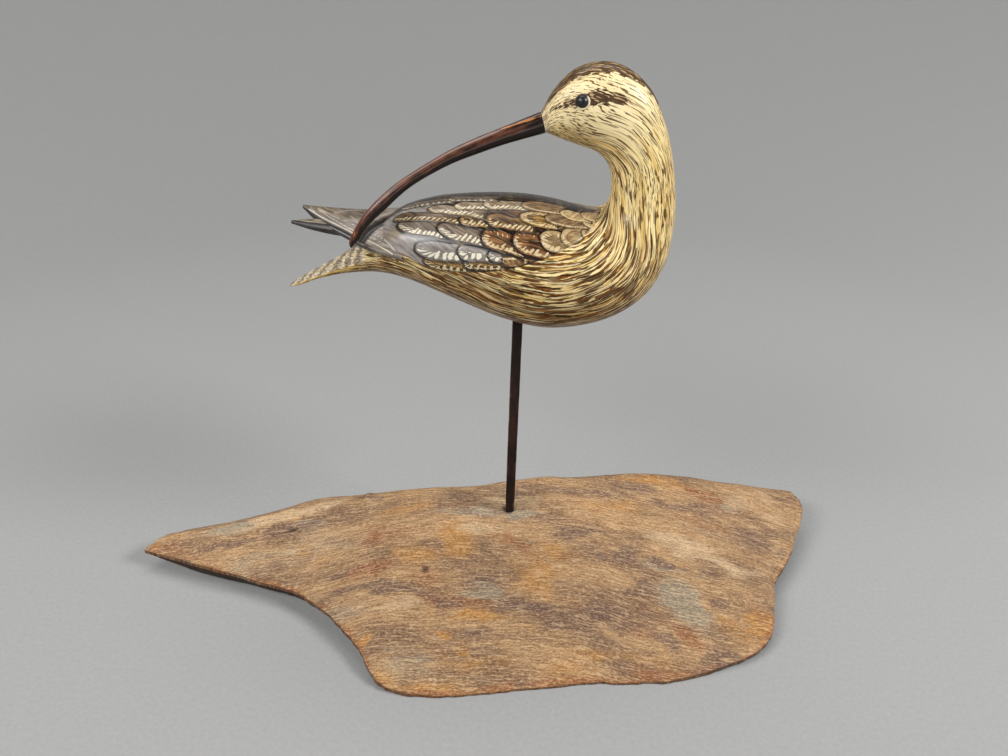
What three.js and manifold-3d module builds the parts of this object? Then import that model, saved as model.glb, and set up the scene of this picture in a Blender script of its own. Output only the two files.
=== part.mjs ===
// Preening shorebird decoy: a carved bird with a separate curved bill and two
// glass eyes, held by one whittled rod on a slab of driftwood.
// Millimetres. z = 0 is the flat foot of the slab, the rod stands on x = y = 0,
// the breast looks along +x, the tail along -x, and the near flank is at -y.
import * as THREE from 'three';
import { LoftGeometry } from 'three/addons/geometries/LoftGeometry.js';
import { mergeVertices } from 'three/addons/utils/BufferGeometryUtils.js';
import Module from 'manifold-3d';

const wasm = await Module();
wasm.setup();

// ---- Driving dimensions ----
const BIRD_LENGTH = 170.2;    // tail tip to breast: bird and bill keep their shape
const SLAB_LENGTH = 362.5;    // pointed tip to broken end: the slab keeps its shape
const ROD_SHOW = 116.2;       // bare rod between the slab and the belly
const ROD_SIDE = 4.76;        // 3/16 in square stock
const ROD_CORNER = 0.9;       // shaved corners of the rod
const ROD_NECK = 3.6;         // side of the rod where it enters the slab
const ROD_NECK_LENGTH = 16;   // whittled length above the slab
const SLAB_SOCKET = 12;       // depth of the rod in the slab
const BELLY_SOCKET = 11;      // depth of the rod in the belly
const SLAB_EDGE = 2.6;        // thickness of the slab's worn edges
const WING_LIFT = 0.7;        // the folded wings stand this far above the flanks
const EYE_R = 2.5;            // 5 mm glass eyes
const EYE_SINK = 1.1;         // depth of an eye's centre below the cheek
const PEG_R = 1.9;            // hidden peg of the bill
const PEG_LENGTH = 8;
const FIT = 0.3;              // gap between neighbouring pieces

// ---- Fineness ----
const BODY_RINGS = 66;
const BODY_SIDES = 32;
const BLADE_RINGS = 12;
const BLADE_SIDES = 12;
const BILL_RINGS = 30;
const BILL_SIDES = 14;
const SLAB_RINGS = 40;
const TOP_STEPS = 16;
const UNDER_STEPS = 8;

// ---- Curves through rows of numbers ----
const clamp = (x, a, b) => Math.min(b, Math.max(a, x));
const lerp = (a, b, f) => a + (b - a) * f;
const rad = (degrees) => degrees * Math.PI / 180;

function smoothstep(x) {
  const f = clamp(x, 0, 1);
  return f * f * (3 - 2 * f);
}

// Uniform Catmull-Rom curve through the rows, read at t = 0 .. rows - 1.
function along(rows, t) {
  const last = rows.length - 1;
  const x = clamp(t, 0, last);
  const i = Math.min(Math.floor(x), last - 1);
  const f = x - i;
  return rows[0].map((_, k) => {
    const b = rows[i][k];
    const c = rows[i + 1][k];
    const a = i > 0 ? rows[i - 1][k] : 2 * b - c;
    const d = i + 2 <= last ? rows[i + 2][k] : 2 * c - b;
    return b + 0.5 * f * (c - a + f * (2 * a - 5 * b + 4 * c - d + f * (3 * (b - c) + d - a)));
  });
}

// Reach of the rows in one of their columns.
function span(rows, column) {
  const values = rows.map((row) => row[column]);
  return Math.max(...values) - Math.min(...values);
}

// ---- Driftwood: front edge x, y, z, ridge x, y, z, back edge x, y, z, and
// the height of its underside ----
const DRAWN_SLAB = [
  [-193, -20, 12, -189, -16, 13.6, -186, -11, 12, 10],
  [-180.5, -25, 12, -175, -12, 15.6, -172, 0, 12, 8.5],
  [-158, -32, 12, -152, -8, 18.2, -148, 8, 12, 7],
  [-134.5, -38, 11, -128.5, 0, 21.2, -126, 17, 12, 5],
  [-110, -44, 9, -108, 9, 23.5, -106, 25, 11, 2.5],
  [-90, -55, 6.5, -86, 11, 25, -86, 29, 9, 0],
  [-72, -72, 4, -62, 13.8, 28, -62, 32, 8, 0],
  [-57, -92, 2, -40, 15, 30.5, -40, 33, 7, 0],
  [-29.4, -97, 1.5, -18, 15.5, 32, -18, 34, 6, 0],
  [6.6, -92, 1.5, 8, 20, 34, 8, 38, 6, 0],
  [43.6, -87, 1.5, 42, 24, 34.5, 42, 43, 6, 0],
  [76, -85, 2, 72, 30, 33.5, 72, 48, 7, 0],
  [111, -74, 4, 101, 31.6, 31, 102, 50, 8, 0],
  [130, -60, 7, 122, 31, 27.5, 124, 50, 10, 2.5],
  [142, -28, 10, 140, 32, 24.4, 142, 50, 11, 6],
  [157, -5, 12.5, 153, 34, 21.6, 155, 48, 13, 9.5],
  [169.5, 23, 16, 166, 36, 19.6, 168, 44, 16, 14],
];
const slabScale = SLAB_LENGTH / span(DRAWN_SLAB, 0);
const SLAB = DRAWN_SLAB.map((row) => row.map((value) => value * slabScale));

// Top: rises from the front edge to the ridge, then falls to the back edge.
function slabTop(s, v) {
  const [fx, fy, fz, rx, ry, rz, bx, by, bz] = along(SLAB, s);
  if (v < 0.75) {
    const f = v / 0.75;
    const ripple = 0.7 * slabScale * Math.sin(f * Math.PI) * Math.sin(2.1 * s + 5 * f);
    return [lerp(fx, rx, f), lerp(fy, ry, f), lerp(fz, rz, 1 - (1 - f) ** 1.3) + ripple];
  }
  const f = (v - 0.75) / 0.25;
  return [lerp(rx, bx, f), lerp(ry, by, f), lerp(rz, bz, 1 - Math.cos(f * Math.PI / 2))];
}

// Underside: flat in the middle, turning up to a thin edge at front and back.
function slabUnder(s, v) {
  const row = along(SLAB, s);
  const [fx, fy, fz, , , , bx, by, bz] = row;
  const middle = Math.max(0, row[9]);
  const edge = Math.max(middle, lerp(fz, bz, v) - SLAB_EDGE, 0);
  const turn = Math.abs(2 * v - 1) ** 5;
  return [lerp(fx, bx, v), lerp(fy, by, v), lerp(middle, edge, turn)];
}

// Height of the slab's top on the rod's axis, by a few Newton steps.
function slabHeightAtRod() {
  let s = 8.7;
  let v = 0.63;
  for (let i = 0; i < 12; i += 1) {
    const [x, y] = slabTop(s, v);
    const [xs, ys] = slabTop(s + 1e-4, v);
    const [xv, yv] = slabTop(s, v + 1e-4);
    const a = (xs - x) / 1e-4;
    const b = (xv - x) / 1e-4;
    const c = (ys - y) / 1e-4;
    const d = (yv - y) / 1e-4;
    const det = a * d - b * c;
    s -= (d * x - b * y) / det;
    v -= (a * y - c * x) / det;
  }
  return slabTop(s, v)[2];
}

function slabRing(s) {
  const ring = [];
  for (let i = 0; i <= TOP_STEPS; i += 1) {
    ring.push(new THREE.Vector3(...slabTop(s, i / TOP_STEPS)));
  }
  for (let i = 0; i <= UNDER_STEPS; i += 1) {
    ring.push(new THREE.Vector3(...slabUnder(s, 1 - i / UNDER_STEPS)));
  }
  ring.reverse();
  return ring;
}

// ---- Bird: ribs from the tail tip round the breast and up to the face ----
// Each rib: inner side x, z (rump, back, throat), outer side x, z (belly,
// breast, nape, crown), half width, sideways shift. The rows are drawn at one
// size and carried to BIRD_LENGTH and to the top of the rod.
const DRAWN_RIBS = [
  [-104.4, 158.6, -104.4, 157.7, 2.0, 0],
  [-98.5, 162.3, -98.3, 159.7, 5.2, 0],
  [-90.0, 167.3, -89.8, 163.3, 7.2, 0],
  [-78.5, 174.2, -77.0, 166.2, 9.0, 0],
  [-66.5, 184.3, -63.0, 167.4, 13.0, 0],
  [-53.0, 194.8, -50.0, 165.2, 18.5, 0],
  [-38.5, 199.6, -36.0, 160.0, 23.5, 0],
  [-25.0, 201.4, -22.0, 154.2, 27.0, 0],
  [-11.0, 202.2, -5.0, 147.8, 29.5, 0],
  [1.0, 202.0, 15.0, 144.3, 30.5, 0],
  [12.0, 200.6, 38.0, 148.8, 30.0, 0],
  [23.0, 198.4, 55.0, 160.0, 27.5, 0],
  [32.2, 197.6, 64.0, 176.0, 22.5, 0],
  [36.8, 201.8, 65.8, 196.0, 17.0, 0],
  [37.3, 208.9, 64.2, 208.9, 14.5, 0],
  [36.0, 215.6, 61.6, 221.0, 13.0, 0],
  [32.9, 220.4, 57.0, 234.2, 12.3, 0],
  [28.0, 223.6, 50.2, 246.7, 12.0, -0.3],
  [23.7, 224.9, 40.3, 255.0, 11.8, -0.7],
  [19.0, 226.4, 30.0, 257.7, 11.3, -1.1],
  [14.3, 227.9, 19.0, 254.9, 9.9, -1.4],
  [11.0, 229.2, 11.0, 247.3, 7.4, -1.7],
  [8.6, 230.0, 6.0, 238.2, 4.3, -2.0],
];

// Lower edge of a folded wing: rib number, and degrees round from the belly.
const WING_EDGE = [
  [3.3, 165], [4.2, 118], [5.0, 98], [5.7, 84], [6.5, 86], [7.4, 94],
  [8.4, 105], [9.4, 116], [10.6, 130], [11.6, 150], [12.4, 178],
];

// The wing edge as an angle at rib t, found along its row of points.
function wingEdge(t) {
  const last = WING_EDGE.length - 1;
  const x = clamp(t, WING_EDGE[0][0], WING_EDGE[last][0]);
  let i = 0;
  while (i < last - 1 && WING_EDGE[i + 1][0] < x) {
    i += 1;
  }
  const [t0, a0] = WING_EDGE[i];
  const [t1, a1] = WING_EDGE[i + 1];
  return rad(lerp(a0, a1, (x - t0) / (t1 - t0)));
}

// How far the skin is lifted by a folded wing, at rib t and angle phi.
function wingLift(t, phi) {
  const turn = Math.abs(phi);
  const across = smoothstep((turn - wingEdge(t)) / 0.16);
  const fore = smoothstep((12.3 - t) / 0.9);
  const aft = smoothstep((t - 3.2) / 0.5);
  return WING_LIFT * across * fore * aft;
}

// Point of the bird's skin: an ellipse round each rib, phi = 0 on the outer
// side (belly, breast, crown), +-180 degrees on the inner side, +phi near.
function birdPoint(t, phi) {
  const [ix, iz, ox, oz, w, shift] = along(RIBS, t);
  const ax = (ox - ix) / 2;
  const az = (oz - iz) / 2;
  const a = Math.hypot(ax, az);
  const lift = wingLift(t, phi);
  const cos = Math.cos(phi) * (1 + lift / a);
  const sin = Math.sin(phi) * (w + lift);
  return new THREE.Vector3((ix + ox) / 2 + ax * cos, shift - sin, (iz + oz) / 2 + az * cos);
}

// ---- Bill: upper ridge x, z, lower ridge x, z, half width, sideways place ----
// Its first row is the face that it is set against.
const DRAWN_BILL = [
  [6.0, 238.2, 8.6, 230.0, 3.7, -2.0],
  [-8.2, 232.5, -8.0, 225.3, 3.1, -4.0],
  [-18.8, 228.5, -18.8, 221.8, 2.8, -6.5],
  [-29.6, 223.8, -29.6, 217.9, 2.6, -9.0],
  [-40.3, 218.0, -40.4, 212.6, 2.4, -12.0],
  [-50.9, 211.5, -48.4, 207.6, 2.2, -15.0],
  [-58.9, 205.1, -56.4, 200.5, 2.1, -17.5],
  [-64.4, 199.4, -63.0, 194.3, 2.0, -19.0],
  [-68.9, 193.0, -68.3, 187.3, 1.9, -20.0],
  [-72.0, 186.6, -71.0, 184.2, 1.1, -20.5],
];

function billPoint(t, phi) {
  const [ux, uz, lx, lz, w, y] = along(BILL, t);
  const cos = Math.cos(phi);
  return new THREE.Vector3(
    (ux + lx) / 2 + (ux - lx) / 2 * cos,
    y - w * Math.sin(phi),
    (uz + lz) / 2 + (uz - lz) / 2 * cos,
  );
}

// ---- Crossed wing tips: near edge x, y, z, far edge x, y, z, thickness ----
const DRAWN_RIGHT_TIP = [
  [-50, -19, 183, -50, 5, 194.5, 5.0],
  [-64, -16, 184.5, -64, 6, 192.4, 5.0],
  [-76, -10, 186.6, -76, 7.5, 191.7, 4.5],
  [-88, -3, 189.2, -88, 8, 192.2, 3.2],
  [-96.6, 5, 193.0, -96.9, 6.8, 193.4, 1.2],
];
const DRAWN_LEFT_TIP = [
  [-50, 5, 183, -50, 19, 185, 5.0],
  [-64, -2, 183.4, -64, 14, 186, 5.0],
  [-76, -7, 185.2, -76, 7, 187.8, 4.0],
  [-88, -9.5, 188.0, -88, 0, 189.4, 2.8],
  [-98.3, -9, 190.5, -98.5, -7.5, 190.9, 1.0],
];

// ---- Carrying the drawn rows to size and onto the rod ----
const birdScale = BIRD_LENGTH / span(DRAWN_RIBS, 2);

// Height of the drawn belly over the rod, where its outer line crosses x = 0.
function drawnBelly() {
  let low = 7;
  let high = 11;
  for (let i = 0; i < 40; i += 1) {
    const middle = (low + high) / 2;
    if (along(DRAWN_RIBS, middle)[2] < 0) {
      low = middle;
    } else {
      high = middle;
    }
  }
  return along(DRAWN_RIBS, low)[3];
}

const slabHeight = slabHeightAtRod();
const bellyHeight = slabHeight + ROD_SHOW;
const belly = drawnBelly();
const carryHeight = (z) => bellyHeight + (z - belly) * birdScale;

// Every number is scaled, and those in the given columns are heights.
function carry(rows, heights) {
  return rows.map((row) => row.map((value, k) => (heights.includes(k) ? carryHeight(value) : value * birdScale)));
}

const RIBS = carry(DRAWN_RIBS, [1, 3]);
const BILL = carry(DRAWN_BILL, [1, 3]);
const RIGHT_TIP = carry(DRAWN_RIGHT_TIP, [2, 5]);
const LEFT_TIP = carry(DRAWN_LEFT_TIP, [2, 5]);

function bladePoint(rows, t, phi) {
  const [nx, ny, nz, fx, fy, fz, thick] = along(rows, t);
  const v = (1 - Math.cos(phi)) / 2;
  return new THREE.Vector3(
    lerp(nx, fx, v),
    lerp(ny, fy, v),
    lerp(nz, fz, v) - thick / 2 * Math.sin(phi),
  );
}

// ---- Solids ----
// Closed loft through rings of points, as a solid.
function loftSolid(rings) {
  const geometry = new LoftGeometry(rings, { closed: true, capStart: true, capEnd: true });
  return toSolid(geometry);
}

function toSolid(source) {
  const plain = new THREE.BufferGeometry();
  plain.setAttribute('position', source.attributes.position);
  plain.setIndex(source.index);
  const geometry = mergeVertices(plain, 1e-4);
  const index = geometry.index.array;
  const kept = [];
  for (let i = 0; i < index.length; i += 3) {
    const [a, b, c] = [index[i], index[i + 1], index[i + 2]];
    if (a !== b && b !== c && a !== c) {
      kept.push(a, b, c);
    }
  }
  const solid = new wasm.Manifold(new wasm.Mesh({
    numProp: 3,
    vertProperties: new Float32Array(geometry.attributes.position.array),
    triVerts: new Uint32Array(kept),
  }));
  return solid;
}

function toMesh(name, solid, colour, roughness, metalness = 0) {
  const { vertProperties, triVerts } = solid.getMesh();
  const geometry = new THREE.BufferGeometry();
  geometry.setAttribute('position', new THREE.Float32BufferAttribute(vertProperties, 3));
  geometry.setIndex(new THREE.BufferAttribute(new Uint32Array(triVerts), 1));
  geometry.computeVertexNormals();
  const mesh = new THREE.Mesh(geometry, new THREE.MeshStandardMaterial({ color: colour, roughness, metalness }));
  mesh.name = name;
  return mesh;
}

function ringsOf(point, from, to, count, sides) {
  const rings = [];
  for (let i = 0; i <= count; i += 1) {
    const t = lerp(from, to, i / count);
    const ring = [];
    for (let k = 0; k < sides; k += 1) {
      ring.push(point(t, Math.PI - 2 * Math.PI * k / sides));
    }
    rings.push(ring);
  }
  return rings;
}

// Square bar with shaved corners through pairs of a height and a side.
function bar(levels, corner) {
  const ringAt = ([z, side]) => {
    const h = side / 2;
    const c = h - corner * side / ROD_SIDE;
    const corners = [[h, -c], [h, c], [c, h], [-c, h], [-h, c], [-h, -c], [-c, -h], [c, -h]];
    return corners.map(([x, y]) => new THREE.Vector3(x, y, z));
  };
  return loftSolid(levels.map(ringAt));
}

function ball(radius, centre) {
  const geometry = new THREE.SphereGeometry(radius, 20, 12);
  geometry.translate(centre.x, centre.y, centre.z);
  return toSolid(geometry);
}

// A peg of the given radius from one point to another.
function peg(radius, from, to) {
  const axis = new THREE.Vector3().subVectors(to, from);
  const geometry = new THREE.CylinderGeometry(radius, radius, axis.length(), 16);
  const turn = new THREE.Quaternion().setFromUnitVectors(new THREE.Vector3(0, 1, 0), axis.clone().normalize());
  geometry.applyQuaternion(turn);
  const middle = new THREE.Vector3().addVectors(from, to).multiplyScalar(0.5);
  geometry.translate(middle.x, middle.y, middle.z);
  return toSolid(geometry);
}

// ---- Eyes: centres sunk straight in from the cheeks ----
const EYE_RIB = 19.42;
const EYE_TURN = 80;          // degrees round the rib from the crown

function eyeCentre(side) {
  const phi = side * rad(EYE_TURN);
  const skin = birdPoint(EYE_RIB, phi);
  skin.y += side * EYE_SINK;
  return skin;
}

// ---- The bill's peg, from its base plane back into the head ----
const billBase = along(BILL, 0);
const billNext = along(BILL, 0.6);
const billRoot = new THREE.Vector3((billBase[0] + billBase[2]) / 2, billBase[5], (billBase[1] + billBase[3]) / 2);
const billAhead = new THREE.Vector3((billNext[0] + billNext[2]) / 2, billNext[5], (billNext[1] + billNext[3]) / 2);
const billBack = new THREE.Vector3().subVectors(billRoot, billAhead).normalize();
const pegStart = billRoot.clone().addScaledVector(billBack, -PEG_R);
const pegEnd = billRoot.clone().addScaledVector(billBack, PEG_LENGTH);
const boreEnd = billRoot.clone().addScaledVector(billBack, PEG_LENGTH + FIT);

// The bill starts one gap in front of the face.
const billStart = 0.6 * FIT / billRoot.distanceTo(billAhead);

// ---- Pieces ----
const rodFoot = slabHeight - SLAB_SOCKET;
const rodTop = bellyHeight + BELLY_SOCKET;
const rod = bar([
  [rodFoot, ROD_NECK], [slabHeight, ROD_NECK], [slabHeight + ROD_NECK_LENGTH, ROD_SIDE], [rodTop, ROD_SIDE],
], ROD_CORNER);
const beak = loftSolid(ringsOf(billPoint, billStart, BILL.length - 1, BILL_RINGS, BILL_SIDES))
  .add(peg(PEG_R, pegStart, pegEnd));

// The rod's holes are wider than the rod by the gap on every side.
const bellyBore = bar([[slabHeight + ROD_NECK_LENGTH, ROD_SIDE + 2 * FIT], [rodTop + FIT, ROD_SIDE + 2 * FIT]], ROD_CORNER);
const slabBore = bar([
  [rodFoot - FIT, ROD_NECK + 2 * FIT], [slabHeight, ROD_NECK + 2 * FIT],
  [slabHeight + ROD_NECK_LENGTH, ROD_SIDE + 2 * FIT],
], ROD_CORNER);

const rightBlade = ringsOf((t, phi) => bladePoint(RIGHT_TIP, t, phi), 0, 4, BLADE_RINGS, BLADE_SIDES);
const leftBlade = ringsOf((t, phi) => bladePoint(LEFT_TIP, t, phi), 0, 4, BLADE_RINGS, BLADE_SIDES);
const bird = loftSolid(ringsOf(birdPoint, 0, RIBS.length - 1, BODY_RINGS, BODY_SIDES))
  .add(loftSolid(rightBlade))
  .add(loftSolid(leftBlade))
  .subtract(bellyBore)
  .subtract(peg(PEG_R + FIT, pegStart, boreEnd))
  .subtract(ball(EYE_R + FIT, eyeCentre(1)))
  .subtract(ball(EYE_R + FIT, eyeCentre(-1)));

const slabRings = [];
for (let i = 0; i <= SLAB_RINGS; i += 1) {
  slabRings.push(slabRing((SLAB.length - 1) * i / SLAB_RINGS));
}
const slab = loftSolid(slabRings).subtract(slabBore);

const decoy = new THREE.Group();
decoy.name = 'preening_shorebird_decoy';
decoy.add(toMesh('carved_bird', bird, 0xb79a63, 0.5));
decoy.add(toMesh('bill', beak, 0x2b1d19, 0.35));
decoy.add(toMesh('glass_eye_left', ball(EYE_R, eyeCentre(-1)), 0x0d0f10, 0.08));
decoy.add(toMesh('glass_eye_right', ball(EYE_R, eyeCentre(1)), 0x0d0f10, 0.08));
decoy.add(toMesh('support_rod', rod, 0x2a1c17, 0.6));
decoy.add(toMesh('driftwood_base', slab, 0x97795a, 0.85));

export default decoy;
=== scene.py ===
"""Looks of a carved and painted preening shorebird on its rod and driftwood slab.

Every surface is worked out with numpy in millimetres, in the model's own frame,
and goes into its mesh in metres. The wood under the paint is a row of elliptical
ribs from the tail tip round the breast to the face. Paint that follows the
feathers is a field on the surface, and its fine marks come from the materials.
"""
import math
from functools import partial

import bpy
import numpy as np
from mathutils import Matrix, Vector


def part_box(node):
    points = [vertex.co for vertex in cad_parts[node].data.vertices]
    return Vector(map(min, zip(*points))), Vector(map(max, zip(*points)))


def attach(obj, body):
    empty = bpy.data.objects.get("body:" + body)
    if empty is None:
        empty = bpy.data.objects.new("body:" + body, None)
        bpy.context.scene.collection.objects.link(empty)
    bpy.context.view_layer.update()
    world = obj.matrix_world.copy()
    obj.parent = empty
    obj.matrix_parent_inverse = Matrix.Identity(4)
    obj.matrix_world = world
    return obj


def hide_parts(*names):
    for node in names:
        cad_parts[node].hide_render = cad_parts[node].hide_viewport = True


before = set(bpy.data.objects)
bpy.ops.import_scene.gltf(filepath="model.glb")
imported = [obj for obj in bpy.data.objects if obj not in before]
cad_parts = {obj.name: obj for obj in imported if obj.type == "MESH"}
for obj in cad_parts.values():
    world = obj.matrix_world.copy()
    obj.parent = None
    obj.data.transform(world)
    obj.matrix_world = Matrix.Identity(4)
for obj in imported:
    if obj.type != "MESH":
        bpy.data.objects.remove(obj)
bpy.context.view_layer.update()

MM = 0.001

# Sizes of the real pieces, in millimetres
EYE_RADIUS = 2.62
EYE_SINK = 1.1
LID_RADIUS = 2.6
LID_TUBE = 0.3
WING_LIFT = 0.75
FEATHER_STEP = 0.22
ROD_SIDE = 4.95
ROD_NECK = 4.4
ROD_NECK_LENGTH = 9.0
KNIFE_CUT = 0.15
SCRAPE = 0.05
BILL_GROOVE = 0.35
SLAB_SOCKET = 12.0
SLAB_EDGE = 2.6

# Place of each eye: rib number, degrees round from the crown
EYE_RIB = 19.45
EYE_TURN = 82.5
# Power of the rounded square that is the rod's section
ROD_POWER = 6.0

# Fineness of the meshes
BODY_RINGS = 300
BODY_SIDES = 300
WING_RINGS = 440
WING_TOP_SIDES = 200
WING_UNDER_SIDES = 8
BLADE_RINGS = 190
BLADE_SIDES = 110
BILL_RINGS = 280
BILL_SIDES = 56
ROD_RINGS = 240
ROD_SIDES = 48
EYE_RINGS = 39
EYE_SIDES = 64
LID_RINGS = 96
LID_SIDES = 20
SLAB_RINGS = 420
SLAB_TOP_SIDES = 165
SLAB_UNDER_SIDES = 44
SLAB_EDGE_SIDES = 4

# Each rib: inner side x, z (rump, back, throat), outer side x, z (belly, breast,
# nape, crown), half width and sideways shift.
RIBS = [
    [-104.4, 158.6, -104.4, 157.7, 2.0, 0],
    [-98.5, 162.3, -98.3, 159.7, 5.2, 0],
    [-90.0, 167.3, -89.8, 163.3, 7.2, 0],
    [-78.5, 174.2, -77.0, 166.2, 9.0, 0],
    [-66.5, 184.3, -63.0, 167.4, 13.0, 0],
    [-53.0, 194.8, -50.0, 165.2, 18.5, 0],
    [-38.5, 199.6, -36.0, 160.0, 23.5, 0],
    [-25.0, 201.4, -22.0, 154.2, 27.0, 0],
    [-11.0, 202.2, -5.0, 147.8, 29.5, 0],
    [1.0, 202.0, 15.0, 144.3, 30.5, 0],
    [12.0, 200.6, 38.0, 148.8, 30.0, 0],
    [23.0, 198.4, 55.0, 160.0, 27.5, 0],
    [32.2, 197.6, 64.0, 176.0, 22.5, 0],
    [36.8, 201.8, 65.8, 196.0, 17.0, 0],
    [37.3, 208.9, 64.2, 208.9, 14.5, 0],
    [36.0, 215.6, 61.6, 221.0, 13.0, 0],
    [32.9, 220.4, 57.0, 234.2, 12.3, 0],
    [28.0, 223.6, 50.2, 246.7, 12.0, -0.3],
    [23.7, 224.9, 40.3, 255.0, 11.8, -0.7],
    [19.0, 226.4, 30.0, 257.7, 11.3, -1.1],
    [14.3, 227.9, 19.0, 254.9, 9.9, -1.4],
    [11.0, 229.2, 11.0, 247.3, 7.4, -1.7],
    [8.6, 230.0, 6.0, 238.2, 4.3, -2.0],
]
LAST_RIB = len(RIBS) - 1
DRAWN_BIRD_LENGTH = 170.2

# Lower edge of a folded wing: rib number, degrees round from the belly.
WING_EDGE = [
    (3.3, 165), (4.2, 118), (5.0, 98), (5.7, 84), (6.5, 86), (7.4, 94),
    (8.4, 105), (9.4, 116), (10.6, 130), (11.6, 150), (12.4, 178),
]

# Bill: upper ridge x, z, lower ridge x, z, half width, sideways place.
BILL = [
    [6.0, 238.2, 8.6, 230.0, 3.7, -2.0],
    [-8.2, 232.5, -8.0, 225.3, 3.1, -4.0],
    [-18.8, 228.5, -18.8, 221.8, 2.8, -6.5],
    [-29.6, 223.8, -29.6, 217.9, 2.6, -9.0],
    [-40.3, 218.0, -40.4, 212.6, 2.4, -12.0],
    [-50.9, 211.5, -48.4, 207.6, 2.2, -15.0],
    [-58.9, 205.1, -56.4, 200.5, 2.1, -17.5],
    [-64.4, 199.4, -63.0, 194.3, 2.0, -19.0],
    [-68.9, 193.0, -68.3, 187.3, 1.9, -20.0],
    [-72.0, 186.6, -71.0, 184.2, 1.1, -20.5],
]

# Crossed wing tips: near edge x, y, z, far edge x, y, z, thickness.
RIGHT_TIP = [
    [-50, -19.5, 180.0, -50, 5, 194.5, 5.0],
    [-64, -16.8, 182.6, -64, 6, 192.4, 5.0],
    [-76, -10.5, 186.0, -76, 7.5, 191.7, 4.5],
    [-88, -3, 189.2, -88, 8, 192.2, 3.2],
    [-96.6, 5, 193.0, -96.9, 6.8, 193.4, 1.2],
]
LEFT_TIP = [
    [-50, 5, 183, -50, 19, 185, 5.0],
    [-64, -2, 183.4, -64, 14, 186, 5.0],
    [-76, -7, 185.2, -76, 7, 187.8, 4.0],
    [-88, -9.5, 188.0, -88, 0, 189.4, 2.8],
    [-98.3, -9, 190.5, -98.5, -7.5, 190.9, 1.0],
]

# Slab: front edge x, y, z, ridge x, y, z, back edge x, y, z, underside height.
SLAB = [
    [-193, -21.5, 12, -189, -15, 13.8, -184.5, -8, 12.8, 10],
    [-180.5, -25, 12, -175, -11, 17.0, -172, -3, 12, 5],
    [-158, -32, 12, -152, -8, 18.8, -148, 6.4, 12, 1],
    [-134.5, -38, 11, -128.5, 0, 21.4, -126, 15, 12, 0.3],
    [-109, -46.4, 11.5, -108, 9, 23.5, -106, 25, 11, 0],
    [-88.8, -58.6, 10.5, -86, 11, 25, -86, 29, 9, 0],
    [-71, -76, 8.5, -62, 13.8, 28, -62, 32, 8, 0],
    [-56.6, -93.4, 3.8, -40, 15, 30.5, -40, 33, 7, 0],
    [-29.4, -97, 1.5, -18, 15.5, 32, -18, 34, 6, 0],
    [6.6, -92, 1.5, 8, 20, 34, 8, 38, 6, 0],
    [43.6, -87, 1.5, 42, 24, 34.5, 42, 43, 6, 0],
    [76, -85, 2, 72, 30, 33.5, 72, 48, 7, 0],
    [111, -74, 4, 101, 31.6, 31, 102, 50, 8, 0],
    [130, -60, 7, 122, 31, 27.5, 124, 50, 10, 2.5],
    [142, -28, 10, 140, 32, 24.4, 142, 50, 11, 6],
    [157, -5, 12.5, 153, 34, 21.6, 155, 48, 13, 9.5],
    [169.5, 23, 16, 166, 36, 19.6, 168, 44, 16, 14],
]
LAST_SLAB_ROW = len(SLAB) - 1
DRAWN_SLAB_LENGTH = 362.5


# Numbers and noise

def smooth(x):
    """Rises from 0 to 1 as x does: 3 x squared less 2 x cubed."""
    f = np.clip(x, 0.0, 1.0)
    return f * f * (3.0 - 2.0 * f)


def along(rows, t):
    """Uniform Catmull-Rom curve through rows of numbers, read at every t."""
    rows = np.asarray(rows, float)
    last = len(rows) - 1
    padded = np.vstack([2 * rows[0] - rows[1], rows, 2 * rows[-1] - rows[-2]])
    t = np.clip(np.asarray(t, float), 0, last)
    i = np.minimum(t.astype(int), last - 1)
    f = (t - i)[..., None]
    a, b, c, d = (padded[i + k] for k in range(4))
    return b + 0.5 * f * (c - a + f * (2 * a - 5 * b + 4 * c - d + f * (3 * (b - c) + d - a)))


def eased(pairs, t, blur=0.3):
    """Line through (t, value) pairs with its corners rounded: a mean of reads over t +- blur."""
    keys, values = np.array(pairs, float).T
    return np.mean([np.interp(t + shift, keys, values) for shift in np.linspace(-blur, blur, 7)], axis=0)


def once_round(count):
    """Angles once round in equal steps, in radians, without the last that meets the first."""
    return np.linspace(0, 2 * np.pi, count, endpoint=False)


def scatter(i, j, seed):
    """A repeatable number from 0 to 1 for each pair of whole numbers: the fraction of a large sine."""
    n = np.sin(i * 127.1 + j * 311.7 + seed * 74.7) * 43758.5453
    return n - np.floor(n)


def noise(x, y, seed):
    """Smooth noise from 0 to 1: scattered numbers on a unit lattice, blended between its corners."""
    i, j = np.floor(x), np.floor(y)
    u, v = smooth(x - i), smooth(y - j)
    near = scatter(i, j, seed) * (1 - u) + scatter(i + 1, j, seed) * u
    far = scatter(i, j + 1, seed) * (1 - u) + scatter(i + 1, j + 1, seed) * u
    return near * (1 - v) + far * v


# Place and scale of the drawn rows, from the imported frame

bird_box = [np.array(corner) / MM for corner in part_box("carved_bird")]
slab_box = [np.array(corner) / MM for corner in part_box("driftwood_base")]
rod_box = [np.array(corner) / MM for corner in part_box("support_rod")]
bird_scale = (bird_box[1][0] - bird_box[0][0]) / DRAWN_BIRD_LENGTH
slab_scale = (slab_box[1][0] - slab_box[0][0]) / DRAWN_SLAB_LENGTH
slab_height_at_rod = rod_box[0][2] + SLAB_SOCKET
drawn_crown = along(RIBS, np.linspace(0, LAST_RIB, 2000))[:, 3].max()
bird_rise = bird_box[1][2] - drawn_crown * bird_scale


def carried(rows, heights):
    """Drawn rows at the bird's real size, with the height columns raised onto the rod."""
    rows = np.array(rows, float) * bird_scale
    rows[:, heights] += bird_rise
    return rows


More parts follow.
